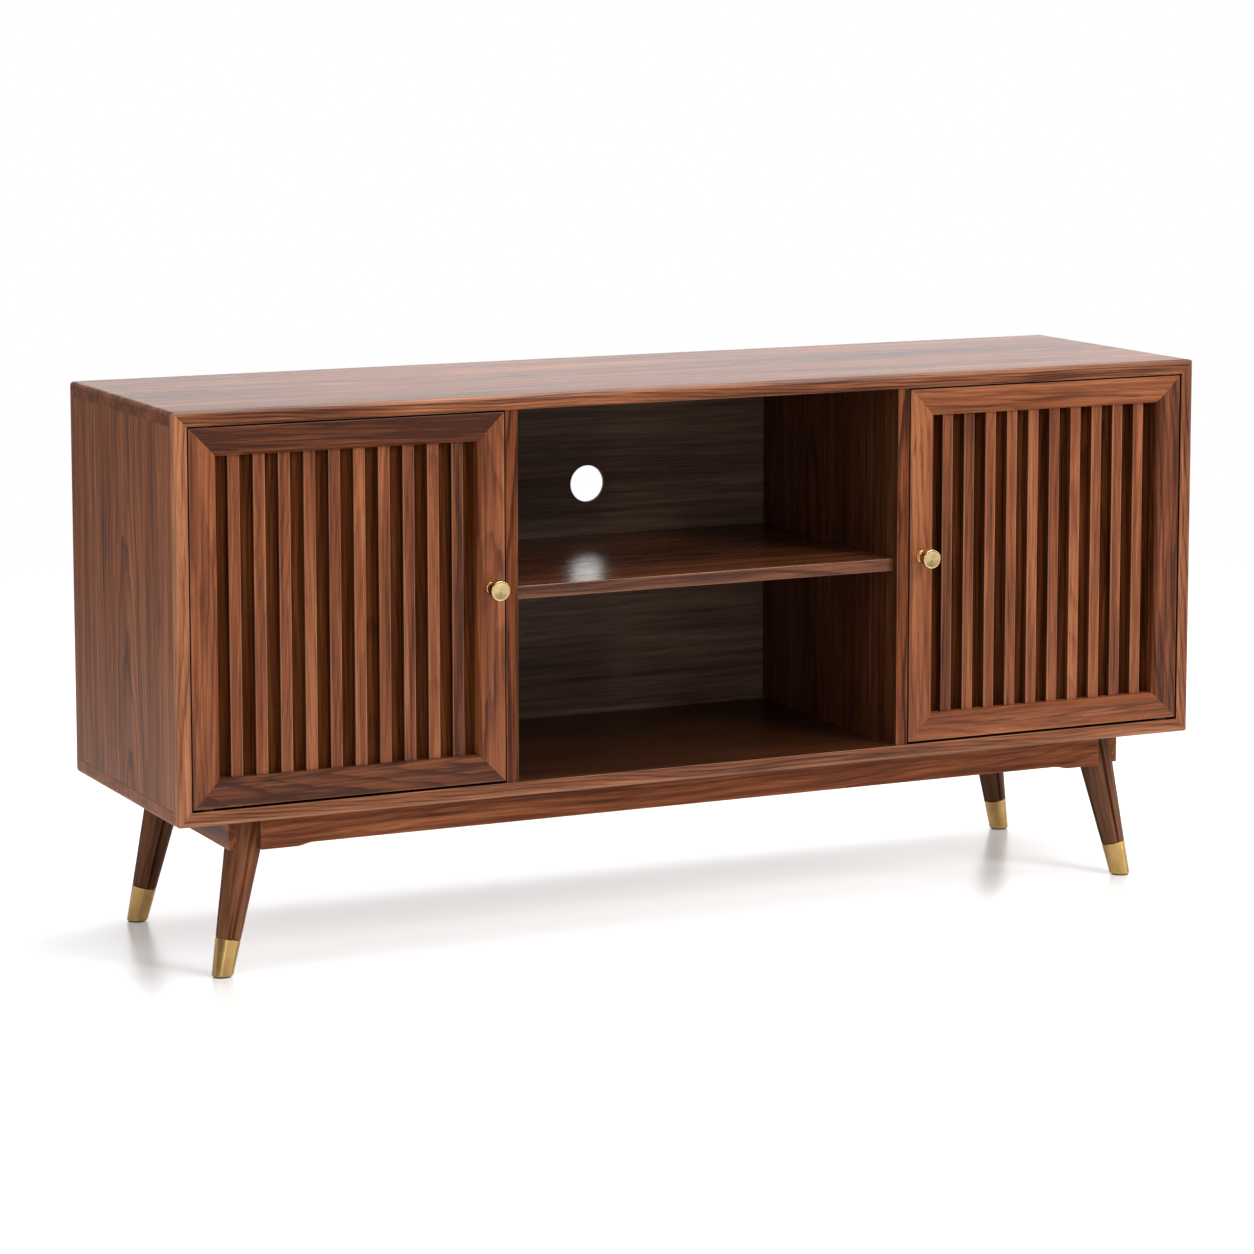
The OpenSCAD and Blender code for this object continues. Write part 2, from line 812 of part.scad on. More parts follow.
module pivot_bushes() {
    color(brass) for (side = sides) hand(side) {
        translate([pivot_x, pivot_y, floor_z]) bush(door_gap_bottom);
        translate([pivot_x, pivot_y, ceiling_z]) mirror([0, 0, 1]) bush(door_gap);
    }
}

module strike_plate(play = 0) {
    back_of_door = door_y + door_t;
    block([catch_x - strike_w / 2 - play, back_of_door - strike_t - play, strike_low - play],
          [catch_x + strike_w / 2 + play, back_of_door + (play > 0 ? over : 0), strike_top + play]);
}

module strike(side) {
    color(steel) hand(side) strike_plate();
}

// Screws that hold the catches, pointing up from their undersides
module catch_screw_places() {
    for (side = sides, shift = [-1, 1] * (catch_w / 2 - screw_head_d))
        hand(side) translate([catch_x + shift, catch_y + catch_d / 2, ceiling_z - catch_h]) children();
}

module door_catches() {
    color(black) difference() {
        for (side = sides) hand(side)
            block([catch_x - catch_w / 2, catch_y, ceiling_z - catch_h],
                  [catch_x + catch_w / 2, catch_y + catch_d, ceiling_z]);
        catch_screw_places() wood_screw(catch_screw_len, seat_play);
    }
}

module catch_screws() {
    color(steel) catch_screw_places() wood_screw(catch_screw_len);
}

// ---- Nodes ---------------------------------------------------------------

top_panel();
bottom_panel();
side_panel(left);  // left_side
side_panel(right);  // right_side
divider(left);  // left_divider
divider(right);  // right_divider
back_panel();
lipping(0);  // bottom_lipping
lipping(1);  // right_lipping
lipping(2);  // top_lipping
lipping(3);  // left_lipping
centre_shelf();
cupboard_shelf(left);  // left_shelf
cupboard_shelf(right);  // right_shelf
shelf_pins();
case_dowels();
divider_dowels();
back_screws();
long_apron(front);  // front_apron
long_apron(back);  // back_apron
side_apron(left);  // left_apron
side_apron(right);  // right_apron
corner_braces();
brace_screws();
leg(left, front);  // front_left_leg
leg(right, front);  // front_right_leg
leg(left, back);  // back_left_leg
leg(right, back);  // back_right_leg
ferrule(left, front);  // front_left_ferrule
ferrule(right, front);  // front_right_ferrule
ferrule(left, back);  // back_left_ferrule
ferrule(right, back);  // back_right_ferrule
foot_pads();
leg_bolts();
leg_inserts();
pivot_bushes();
door_catches();
catch_screws();
hinge_stile(left);  // left_hinge_stile
lock_stile(left);  // left_lock_stile
top_rail(left);  // left_top_rail
bottom_rail(left);  // left_bottom_rail
door_panel(left);  // left_door_panel
slats(left);  // left_slats
knob(left);  // left_knob
knob_screw(left);  // left_knob_screw
pivot_pins(left);  // left_pivot_pins
strike(left);  // left_strike
hinge_stile(right);  // right_hinge_stile
lock_stile(right);  // right_lock_stile
top_rail(right);  // right_top_rail
bottom_rail(right);  // right_bottom_rail
door_panel(right);  // right_door_panel
slats(right);  // right_slats
knob(right);  // right_knob
knob_screw(right);  // right_knob_screw
pivot_pins(right);  // right_pivot_pins
strike(right);  // right_strike
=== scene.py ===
import json
import math
import random

import bmesh
import bpy
from mathutils import Matrix, Vector


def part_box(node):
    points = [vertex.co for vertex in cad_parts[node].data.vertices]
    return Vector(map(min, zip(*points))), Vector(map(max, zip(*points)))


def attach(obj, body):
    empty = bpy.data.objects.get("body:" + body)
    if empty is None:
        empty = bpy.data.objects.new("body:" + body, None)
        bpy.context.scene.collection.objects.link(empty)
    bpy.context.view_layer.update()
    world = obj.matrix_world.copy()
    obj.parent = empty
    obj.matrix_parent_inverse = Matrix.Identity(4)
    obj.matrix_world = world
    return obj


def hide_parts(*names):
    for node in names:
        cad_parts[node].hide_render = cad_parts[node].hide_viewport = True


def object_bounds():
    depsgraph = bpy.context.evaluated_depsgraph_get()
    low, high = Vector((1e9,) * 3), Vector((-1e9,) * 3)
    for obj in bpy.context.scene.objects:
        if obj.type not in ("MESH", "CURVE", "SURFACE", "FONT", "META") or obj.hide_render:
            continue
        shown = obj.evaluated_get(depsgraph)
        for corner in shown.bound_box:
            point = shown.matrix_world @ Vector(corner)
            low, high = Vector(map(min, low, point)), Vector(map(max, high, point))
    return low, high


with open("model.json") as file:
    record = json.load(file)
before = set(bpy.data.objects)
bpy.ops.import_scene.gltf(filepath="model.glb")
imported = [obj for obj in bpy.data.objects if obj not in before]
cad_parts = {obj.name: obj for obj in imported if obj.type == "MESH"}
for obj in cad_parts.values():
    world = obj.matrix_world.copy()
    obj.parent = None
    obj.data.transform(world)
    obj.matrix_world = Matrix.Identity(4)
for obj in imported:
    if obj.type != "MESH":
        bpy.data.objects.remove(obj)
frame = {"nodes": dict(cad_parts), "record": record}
cadLow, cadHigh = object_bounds()

mm = 0.001
dice = random.Random(41)          # every board draws its own grain from this
right, front, up = Vector((1, 0, 0)), Vector((0, -1, 0)), Vector((0, 0, 1))


# Places taken from the frame

def joined(keys, edges):
    # sorts a mesh's vertices, each known by its key, into groups that hang together
    chief = {key: key for key in keys}

    def lead(key):
        while chief[key] != key:
            chief[key] = chief[chief[key]]
            key = chief[key]
        return key

    for edge in edges:
        chief[lead(keys[edge.vertices[0]])] = lead(keys[edge.vertices[1]])
    groups = {}
    for key in chief:
        groups.setdefault(lead(key), []).append(key)
    return list(groups.values())


def cornersOf(spots):
    return tuple(Vector([pick(s[i] for s in spots) for i in range(3)]) for pick in (min, max))


def solidBoxes(node):
    # a node can hold several loose solids: gives the corners of each, sorted by x, y, z
    mesh = frame["nodes"][node].data
    spots = [tuple(round(c, 6) for c in v.co) for v in mesh.vertices]
    boxes = [cornersOf(group) for group in joined(spots, mesh.edges)]
    return sorted(boxes, key=lambda b: [round(c, 4) for c in b[0]])


def middle(box):
    return (box[0] + box[1]) / 2


def faceCentre(box, direction):
    # the middle of the box's face that looks along the direction
    axis = max(range(3), key=lambda i: abs(direction[i]))
    spot = middle(box)
    spot[axis] = box[1][axis] if direction[axis] > 0 else box[0][axis]
    return spot


def aimed(point, direction):
    # stands +z of a drawing on the direction, at the point
    turn = Vector(direction).to_track_quat("Z", "Y").to_matrix().to_4x4()
    return Matrix.Translation(point) @ turn


# Shapes

def standing(name, data):
    thing = bpy.data.objects.new(name, data)
    bpy.context.scene.collection.objects.link(thing)
    return thing


def gather(shapes):
    whole = bmesh.new()
    for shape in shapes:
        mesh = bpy.data.meshes.new("part")
        shape.to_mesh(mesh)
        shape.free()
        whole.from_mesh(mesh)
        bpy.data.meshes.remove(mesh)
    return whole


def looseObject(shape):
    mesh = bpy.data.meshes.new("tool")
    shape.to_mesh(mesh)
    shape.free()
    return standing("tool", mesh)


def carve(shape, tools):
    # takes the tools' shapes out of the shape
    body = looseObject(shape)
    tool = looseObject(gather(tools))
    cut = body.modifiers.new("cut", "BOOLEAN")
    cut.operation = "DIFFERENCE"
    cut.solver = "EXACT"
    cut.object = tool
    shown = body.evaluated_get(bpy.context.evaluated_depsgraph_get())
    result = bmesh.new()
    result.from_mesh(shown.to_mesh())
    shown.to_mesh_clear()
    for thing in (body, tool):
        mesh = thing.data
        bpy.data.objects.remove(thing)
        bpy.data.meshes.remove(mesh)
    return result


def roundOver(shape, edges, radius, steps):
    if edges and radius > 0:
        bmesh.ops.bevel(shape, geom=edges, offset=radius, offset_type="OFFSET", segments=steps,
                        profile=0.5, affect="EDGES", clamp_overlap=True)


def sharpEdges(shape, degrees=60):
    return [e for e in shape.edges
            if len(e.link_faces) == 2 and e.calc_face_angle(0) > math.radians(degrees)]


def board(low, high, rounded=(), radius=0.0, ease=0.35 * mm, steps=4):
    # a board from corner to corner; rounded names edges by the two faces that meet there, as in "top back"
    low, high = Vector(low), Vector(high)
    shape = bmesh.new()
    bmesh.ops.create_cube(shape, size=1)
    size = high - low
    for v in shape.verts:
        v.co = Vector([low[i] + size[i] * (v.co[i] + 0.5) for i in range(3)])
    faces = {"left": (0, low.x), "right": (0, high.x), "front": (1, low.y),
             "back": (1, high.y), "bottom": (2, low.z), "top": (2, high.z)}

    def lies(edge, names):
        places = [faces[name] for name in names.split()]
        return all(abs(v.co[axis] - value) < 1e-6 for v in edge.verts for axis, value in places)

    roundOver(shape, [e for e in shape.edges if any(lies(e, names) for names in rounded)], radius, steps)
    roundOver(shape, sharpEdges(shape), ease, 2)
    return shape


def softOutline(points, radii, steps=5):
    # rounds the corners of an outline, each with its own radius
    soft = []
    count = len(points)
    for i in range(count):
        here, before, after = (Vector(points[k % count]) for k in (i, i - 1, i + 1))
        radius = radii[i]
        toBefore, toAfter = (before - here).normalized(), (after - here).normalized()
        opening = toBefore.angle(toAfter)
        if radius <= 0 or opening > math.radians(178):
            soft.append(here)
            continue
        reach = radius / math.tan(opening / 2)
        centre = here + (toBefore + toAfter).normalized() * (radius / math.sin(opening / 2))
        a, b = here + toBefore * reach - centre, here + toAfter * reach - centre
        swing = a.angle_signed(b)
        for k in range(steps + 1):
            turn = -swing * k / steps
            c, s = math.cos(turn), math.sin(turn)
            soft.append(centre + Vector((a.x * c - a.y * s, a.x * s + a.y * c)))
    return soft


def closeSides(shape, rings, capped=True):
    count = len(rings[0])
    for here, there in zip(rings, rings[1:]):
        for k in range(count):
            n = (k + 1) % count
            shape.faces.new((here[k], here[n], there[n], there[k]))
    if capped:
        shape.faces.new(rings[0])
        shape.faces.new(rings[-1])


def tidy(shape):
    bmesh.ops.remove_doubles(shape, verts=shape.verts, dist=0.004 * mm)
    bmesh.ops.dissolve_degenerate(shape, edges=shape.edges, dist=0.004 * mm)
    bmesh.ops.recalc_face_normals(shape, faces=shape.faces)
    return shape


def mitredBar(outline, length, corner, seam, place):
    # a moulding along x with mitred ends; outline points are (inward, out)
    # corner rounds the frame's outer corner, and seam softens the mitre's line
    shape = bmesh.new()
    core = sum((Vector(p) for p in outline), Vector((0, 0))) / len(outline)
    start = corner * (1 - math.sqrt(0.5))
    stations = [start + (corner - start) * i / 4 for i in range(5)]

    def ring(station, atEnd, shift, inset):
        reach = max(0.0, corner ** 2 - (corner - station) ** 2)
        least = corner - math.sqrt(reach)
        verts = []
        for inward, out in outline:
            t = max(inward, least)
            x = max(station, t) + shift
            pull = (core - Vector((inward, out))).normalized() * inset
            x = length - x if atEnd else x
            verts.append(shape.verts.new((x, t + pull.x, out + pull.y)))
        return verts

    rings = [ring(stations[0], False, 0, seam)]
    rings += [ring(s, False, seam, 0) for s in stations]
    rings += [ring(s, True, seam, 0) for s in reversed(stations)]
    rings.append(ring(stations[0], True, 0, seam))
    closeSides(shape, rings)
    shape.transform(place)
    return tidy(shape)


def prism(outline, depth, place, ease=0.0):
    # an outline in x and y, made solid along z from 0 to depth
    shape = bmesh.new()
    rings = [[shape.verts.new((p[0], p[1], z)) for p in outline] for z in (0, depth)]
    closeSides(shape, rings)
    tidy(shape)
    roundOver(shape, sharpEdges(shape, 50), ease, 3)
    shape.transform(place)
    return tidy(shape)


def turned(profile, place, steps=48):
    # spins a profile of (radius, height) points about z, with a map that runs round the axis
    shape = bmesh.new()
    wrap = shape.loops.layers.uv.new("turned")
    rings, run, last = [], [], None
    for radius, height in profile:
        if radius < 1e-7:
            rings.append([shape.verts.new((0, 0, height))])
        else:
            turns = [math.tau * k / steps for k in range(steps)]
            rings.append([shape.verts.new((radius * math.cos(a), radius * math.sin(a), height))
                          for a in turns])
        here = Vector((radius, height))
        run.append(0 if last is None else run[-1] + (here - last).length)
        last = here
    for i in range(len(rings) - 1):
        a, b = rings[i], rings[i + 1]
        for k in range(steps):
            n = (k + 1) % steps
            corners = [(a[k % len(a)], k, i), (a[n % len(a)], k + 1, i),
                       (b[n % len(b)], k + 1, i + 1), (b[k % len(b)], k, i + 1)]
            kept = []
            for vert, u, v in corners:
                if vert not in [c[0] for c in kept]:
                    kept.append((vert, u, v))
            if len(kept) < 3:
                continue
            face = shape.faces.new([c[0] for c in kept])
            for loop, (vert, u, v) in zip(face.loops, kept):
                loop[wrap].uv = (u / steps, run[v])
    shape.transform(place)
    return tidy(shape)


def softProfile(points, radii, steps=4):
    # an open profile of (radius, height) points with rounded corners
    soft = [Vector(points[0])]
    for i in range(1, len(points) - 1):
        three = [points[i - 1], points[i], points[i + 1]]
        soft += softOutline(three, [0, radii[i], 0], steps)[1:-1]
    soft.append(Vector(points[-1]))
    return soft


def drill(point, direction, radius, depth, steps=32, mouth=0.0):
    # a bore from the point along the direction; mouth is a small countersink at the point
    back = 1.0 * mm
    profile = [(0, -back), (radius + mouth, -back), (radius + mouth, 0),
               (radius, mouth), (radius, depth), (0, depth)]
    return turned(profile, aimed(point, direction), steps)


def looseParts(mesh):
    # vertex indices of each loose part
    groups = joined(range(len(mesh.vertices)), mesh.edges)
    return sorted(groups, key=lambda g: tuple(round(c, 4) for c in mesh.vertices[g[0]].co))


def layGrain(mesh, along, through, tone=None):
    # gives each board its own measure along, across and through the grain, and its own lot
    # tone picks the board's lightness, from 0 dark to 1 light; for the legs and the left edging it also
    # carries painted shade and highlight
    across = through.cross(along).normalized()
    spread = [0.0] * (3 * len(mesh.vertices))
    lots = [0.0] * (3 * len(mesh.vertices))
    for part in looseParts(mesh):
        places = [mesh.vertices[i].co for i in part]
        centre = middle(cornersOf(places))
        lot = [dice.random() for _ in range(3)]
        lot[2] = lot[2] if tone is None else tone
        for i, place in zip(part, places):
            away = place - centre
            spread[3 * i:3 * i + 3] = [away.dot(along), away.dot(across), away.dot(through)]
            lots[3 * i:3 * i + 3] = lot
    mesh.attributes.new("grain", "FLOAT_VECTOR", "POINT").data.foreach_set("vector", spread)
    mesh.attributes.new("lot", "FLOAT_VECTOR", "POINT").data.foreach_set("vector", lots)
    # the rounded arrises are marked, so that their finish can be made a little lighter: partly wear, partly
    # a painted highlight along the edges
    wearAndHighlight = []
    for face in mesh.polygons:
        lean = max(abs(face.normal.dot(axis)) for axis in (along, across, through))
        wearAndHighlight.append(0.0 if lean > 0.995 else 1.0)
    mesh.attributes.new("arris", "FLOAT", "FACE").data.foreach_set("value", wearAndHighlight)


def makePiece(name, shape, body, nodes, finish, along=None, through=None, smooth=40, tone=None,
              faceFinishes=()):
    mesh = bpy.data.meshes.new(name)
    shape.to_mesh(mesh)
    shape.free()
    for face in mesh.polygons:
        face.use_smooth = True
    mesh.set_sharp_from_angle(angle=math.radians(smooth))
    piece = standing(name, mesh)
    if along is not None:
        layGrain(mesh, along, through, tone)
    mesh.materials.append(finish)
    # faces that look a given way can have a finish of their own
    for index, (way, ownFinish) in enumerate(faceFinishes):
        mesh.materials.append(ownFinish)
        for face in mesh.polygons:
            if face.normal.dot(way) > 0.9:
                face.material_index = index + 1
    even = piece.modifiers.new("even shading", "WEIGHTED_NORMAL")
    even.keep_sharp = True
    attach(piece, body)
    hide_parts(*nodes)
    return piece


# Building a finish out of shader nodes

def newFinish(name):
    finish = bpy.data.materials.new(name)
    finish.use_nodes = True
    return finish, finish.node_tree, finish.node_tree.nodes["Principled BSDF"]


def plug(tree, value, socket):
    if isinstance(value, bpy.types.NodeSocket):
        tree.links.new(value, socket)
    else:
        socket.default_value = value


def sums(tree, operation, *values, clamp=False):
    node = tree.nodes.new("ShaderNodeMath")
    node.operation = operation
    node.use_clamp = clamp
    for value, socket in zip(values, node.inputs):
        plug(tree, value, socket)
    return node.outputs[0]


def vectors(tree, operation, *values):
    node = tree.nodes.new("ShaderNodeVectorMath")
    node.operation = operation
    for value, socket in zip(values, node.inputs):
        plug(tree, value, socket)
    return node.outputs[0]


def surface(tree, shader, colour, rough, height, strength, depth):
    bump = tree.nodes.new("ShaderNodeBump")
    bump.inputs["Strength"].default_value = strength
    bump.inputs["Distance"].default_value = depth
    tree.links.new(height, bump.inputs["Height"])
    tree.links.new(colour, shader.inputs["Base Color"])
    tree.links.new(rough, shader.inputs["Roughness"])
    tree.links.new(bump.outputs[0], shader.inputs["Normal"])


def readAttribute(tree, name):
    node = tree.nodes.new("ShaderNodeAttribute")
    node.attribute_name = name
    return node


def cloud(tree, vector, detail=2.0, rough=0.5, twist=0.0, colour=False, scale=1.0):
    node = tree.nodes.new("ShaderNodeTexNoise")
    plug(tree, vector, node.inputs["Vector"])
    node.inputs["Scale"].default_value = scale
    node.inputs["Detail"].default_value = detail
    node.inputs["Roughness"].default_value = rough
    node.inputs["Distortion"].default_value = twist
    return node.outputs["Color" if colour else "Fac"]


def spanned(tree, value, low, high, newLow=0.0, newHigh=1.0, smooth=False):
    node = tree.nodes.new("ShaderNodeMapRange")
    node.clamp = True
    node.interpolation_type = "SMOOTHSTEP" if smooth else "LINEAR"
    for i, v in enumerate((value, low, high, newLow, newHigh)):
        plug(tree, v, node.inputs[i])
    return node.outputs[0]


def shades(tree, value, stops):
    node = tree.nodes.new("ShaderNodeValToRGB")
    plug(tree, value, node.inputs[0])
    node.color_ramp.interpolation = "LINEAR"
    spots = node.color_ramp.elements
    while len(spots) < len(stops):
        spots.new(0.5)
    for spot, (place, colour) in zip(spots, stops):
        spot.position = place
        spot.color = (*colour, 1)
    return node.outputs[0]


def blend(tree, amount, a, b, kind="MIX"):
    node = tree.nodes.new("ShaderNodeMix")
    node.data_type = "RGBA"
    node.blend_type = kind
    plug(tree, amount, node.inputs[0])
    plug(tree, a if isinstance(a, bpy.types.NodeSocket) else (*a, 1), node.inputs[6])
    plug(tree, b if isinstance(b, bpy.types.NodeSocket) else (*b, 1), node.inputs[7])
    return node.outputs[2]


# Walnut

walnutLook = {
    "dark": (0.046, 0.0110, 0.0034),     # the late wood and the deepest lines
    "mid": (0.185, 0.0505, 0.0162),
    "light": (0.370, 0.1300, 0.0490),
    "streak": (0.200, 0.170, 0.200),     # what the near-black figure leaves of the colour
    "streaks": 0.70,                     # how strongly the dark figure shows
    "streakSize": (5.5, 66.0),           # more is shorter and narrower
    "rings": 6.5 * mm,                   # spacing of the growth rings
    "ringDepth": 0.6,                    # how strongly the rings show
    "sway": 7 * mm,                      # waviness of the grain
    "heart": 60 * mm,                    # how far below the face the tree's middle lies
    "lots": 0.30,                        # how much boards differ from each other
    "gloss": 0.38,                       # roughness of the lacquer
    "sheen": 0.24,                       # how much of the room the lacquer mirrors
    "coat": 0.04,
    "rub": 0.26,                         # how far the arrises are made lighter: partly wear, partly a painted highlight
}


def walnutFinish(name, **changes):
    look = {**walnutLook, **changes}
    finish, tree, shader = newFinish(name)
    grain = readAttribute(tree, "grain").outputs["Vector"]
    lot = readAttribute(tree, "lot").outputs["Vector"]
    arris = readAttribute(tree, "arris").outputs["Fac"]
    apart = tree.nodes.new("ShaderNodeSeparateXYZ")
    tree.links.new(lot, apart.inputs[0])
    lotX, lotY, lotZ = apart.outputs
    elsewhere = vectors(tree, "MULTIPLY", lot, (37.0, 51.0, 43.0))

    def stretched(along, across):
        return vectors(tree, "MULTIPLY_ADD", grain, (along, across, across), elsewhere)

    # growth rings: circles round a heart that wanders below the board
    drift = cloud(tree, stretched(1.3, 3.5), 2.0, 0.5, 0.0, True)
    drift = vectors(tree, "MULTIPLY_ADD", drift, (0.0, 0.055, 0.055), (0.0, -0.0275, -0.0275))
    sway = cloud(tree, stretched(8.0, 24.0), 2.0, 0.5, 0.0, True)
    sway = vectors(tree, "MULTIPLY_ADD", sway, (0.0, look["sway"], look["sway"]), drift)
    bent = vectors(tree, "ADD", grain, sway)
    split = tree.nodes.new("ShaderNodeSeparateXYZ")
    tree.links.new(bent, split.inputs[0])
    along, across, through = split.outputs
    aside = sums(tree, "MULTIPLY_ADD", lotX, 0.16, -0.08)
    depth = sums(tree, "MULTIPLY_ADD", lotY, look["heart"], look["heart"] * 0.4)
    depth = sums(tree, "MULTIPLY_ADD", along, 0.045, depth)
    y = sums(tree, "ADD", across, aside)
    z = sums(tree, "ADD", through, depth)
    away = sums(tree, "SQRT", sums(tree, "ADD", sums(tree, "MULTIPLY", y, y), sums(tree, "MULTIPLY", z, z)))
    ragged = cloud(tree, stretched(9.0, 95.0), 2.0, 0.6)
    away = sums(tree, "MULTIPLY_ADD", ragged, 2.6 * mm, away)
    turns = sums(tree, "FRACT", sums(tree, "DIVIDE", away, look["rings"]))
    late = spanned(tree, turns, 0.45, 0.94, 0.0, 1.0, True)
    early = spanned(tree, turns, 0.93, 1.0, 0.0, 1.0, True)
    ring = sums(tree, "SUBTRACT", late, early)

    # fibres, from fine lines to broad bands
    swayed = vectors(tree, "MULTIPLY_ADD", sway, (0.0, 0.35, 0.35), grain)
    fibre = vectors(tree, "MULTIPLY_ADD", swayed, (9.0, 430.0, 430.0), elsewhere)
    fibre = cloud(tree, fibre, 3.0, 0.65)
    strand = vectors(tree, "MULTIPLY_ADD", swayed, (4.0, 110.0, 110.0), elsewhere)
    strand = cloud(tree, strand, 3.0, 0.62, 0.3)
    band = cloud(tree, stretched(1.1, 17.0), 2.0, 0.5, 0.6)
    tone = sums(tree, "MULTIPLY", fibre, 0.58)
    tone = sums(tree, "MULTIPLY_ADD", strand, 0.85, tone)
    tone = sums(tree, "MULTIPLY_ADD", band, 0.55, tone)
    strength = sums(tree, "MULTIPLY", spanned(tree, band, 0.3, 0.7, 0.4, 1.0), -0.42 * look["ringDepth"])
    tone = sums(tree, "MULTIPLY_ADD", ring, strength, tone)
    tone = sums(tree, "MULTIPLY_ADD", lotZ, look["lots"], tone)
    tone = spanned(tree, tone, 0.66 + look["lots"] / 2, 1.30 + look["lots"] / 2)
    colour = shades(tree, tone, [(0.0, look["dark"]), (0.45, look["mid"]), (1.0, look["light"])])

    # the dark figure, in long irregular streaks
    figure = cloud(tree, stretched(*look["streakSize"]), 3.0, 0.55, 0.9)
    figure = spanned(tree, figure, 0.54, 0.68, 0.0, 1.0, True)
    figure = sums(tree, "MULTIPLY", figure, spanned(tree, strand, 0.25, 0.7, 0.35, 1.0))
    colour = blend(tree, sums(tree, "MULTIPLY", figure, look["streaks"]), colour, look["streak"], "MULTIPLY")

    # pores, and the arrises made lighter: partly wear, partly a painted highlight
    pores = cloud(tree, stretched(60.0, 1500.0), 1.0, 0.5)
    pores = spanned(tree, pores, 0.60, 0.72, 0.0, 1.0, True)
    colour = blend(tree, sums(tree, "MULTIPLY", pores, 0.35), colour, look["dark"])
    rub = sums(tree, "MULTIPLY", arris, spanned(tree, strand, 0.3, 0.7, look["rub"] / 4, look["rub"]))
    colour = blend(tree, rub, colour, (0.46, 0.235, 0.135))

    rough = sums(tree, "MULTIPLY_ADD", fibre, 0.12, look["gloss"] - 0.06)
    rough = sums(tree, "MULTIPLY_ADD", pores, 0.12, rough)
    height = sums(tree, "MULTIPLY_ADD", pores, -0.8, sums(tree, "MULTIPLY", fibre, 0.5))
    surface(tree, shader, colour, rough, height, 0.25, 0.12 * mm)
    shader.inputs["IOR"].default_value = 1.48
    shader.inputs["Specular IOR Level"].default_value = look["sheen"]
    shader.inputs["Coat Weight"].default_value = look["coat"]
    shader.inputs["Coat Roughness"].default_value = 0.30
    return finish


panelWalnut = walnutFinish("panelWalnut", streaks=0.62, streakSize=(3.2, 40.0), ringDepth=0.8, sheen=0.10)
topWalnut = walnutFinish("topWalnut", dark=(0.020, 0.0045, 0.0014), light=(0.46, 0.175, 0.070),
                         streaks=0.7, streakSize=(2.4, 60.0), ringDepth=0.6)
endWalnut = walnutFinish("endWalnut", dark=(0.075, 0.0200, 0.0066), streaks=0.2, ringDepth=0.3, sheen=0.10)
# a dark finish that paints the shade on the faces inside the case and on the edging's inner faces
paintedShadeInnerWalnut = walnutFinish("paintedShadeInnerWalnut", dark=(0.013, 0.0036, 0.0014), mid=(0.040, 0.0118, 0.0044),
                           light=(0.090, 0.031, 0.0120), streaks=0.4, streakSize=(3.2, 40.0), gloss=0.30)
edgingWalnut = walnutFinish("edgingWalnut", streaks=0.4, rings=4 * mm, lots=0.5,
                            mid=(0.225, 0.072, 0.026), light=(0.46, 0.185, 0.082))
frameWalnut = walnutFinish("frameWalnut", streaks=0.8, rings=5.5 * mm, ringDepth=0.45, lots=0.7)
bevelWalnut = walnutFinish("bevelWalnut", streaks=0.8, rings=5.5 * mm, ringDepth=0.45, lots=0.7, rub=0.04,
                           sheen=0.08, coat=0.0, gloss=0.5)
apronWalnut = walnutFinish("apronWalnut", mid=(0.165, 0.045, 0.0145), streaks=0.6, rings=5 * mm,
                           ringDepth=0.3, sheen=0.12, coat=0.0)
# the slats' arrises are made lighter still, a painted highlight along the slat edges
slatWalnut = walnutFinish("slatWalnut", streaks=0.3, rings=4.5 * mm, lots=0.2, ringDepth=0.3,
                          rub=0.5)
# a dark finish that paints the shade in the grooves between the slats and on the slats' left faces
paintedShadeGrooveWalnut = walnutFinish("paintedShadeGrooveWalnut", dark=(0.015, 0.0040, 0.0012), mid=(0.060, 0.0160, 0.0046),
                            light=(0.13, 0.040, 0.0125), streaks=0.2, ringDepth=0.4,
                            gloss=0.5, sheen=0.0, coat=0.0)
# a dark finish that paints the shade in the open bay and in the gaps round the doors
paintedShadeRecessWalnut = walnutFinish("paintedShadeRecessWalnut", dark=(0.022, 0.0054, 0.0017), mid=(0.085, 0.0245, 0.0082),
                         light=(0.17, 0.0630, 0.0250), streaks=0.5, streakSize=(3.2, 40.0), gloss=0.32)
# the legs' finish is darker than the other walnut: partly the wood, partly painted shade; lots=1.0 lets each
# leg's tone carry it
turnedWalnutWithShade = walnutFinish("turnedWalnutWithShade", streaks=0.4, sheen=0.05, coat=0.0, lots=1.0, ringDepth=0.4,
                            dark=(0.024, 0.0056, 0.0017), mid=(0.080, 0.0205, 0.0064),
                            light=(0.18, 0.055, 0.019), rings=5 * mm)
shelfWalnut = walnutFinish("shelfWalnut", gloss=0.25, streaks=0.35, sheen=0.5, mid=(0.165, 0.052, 0.020))
rearWalnut = walnutFinish("rearWalnut", dark=(0.052, 0.026, 0.016), mid=(0.125, 0.064, 0.040),
                          light=(0.21, 0.12, 0.080), streaks=0.3, ringDepth=0.2, gloss=0.5, coat=0.0)
backWalnut = walnutFinish("backWalnut", dark=(0.060, 0.033, 0.021), mid=(0.165, 0.092, 0.060),
                          light=(0.29, 0.175, 0.120), streaks=0.3, ringDepth=0.2, gloss=0.5, coat=0.0)


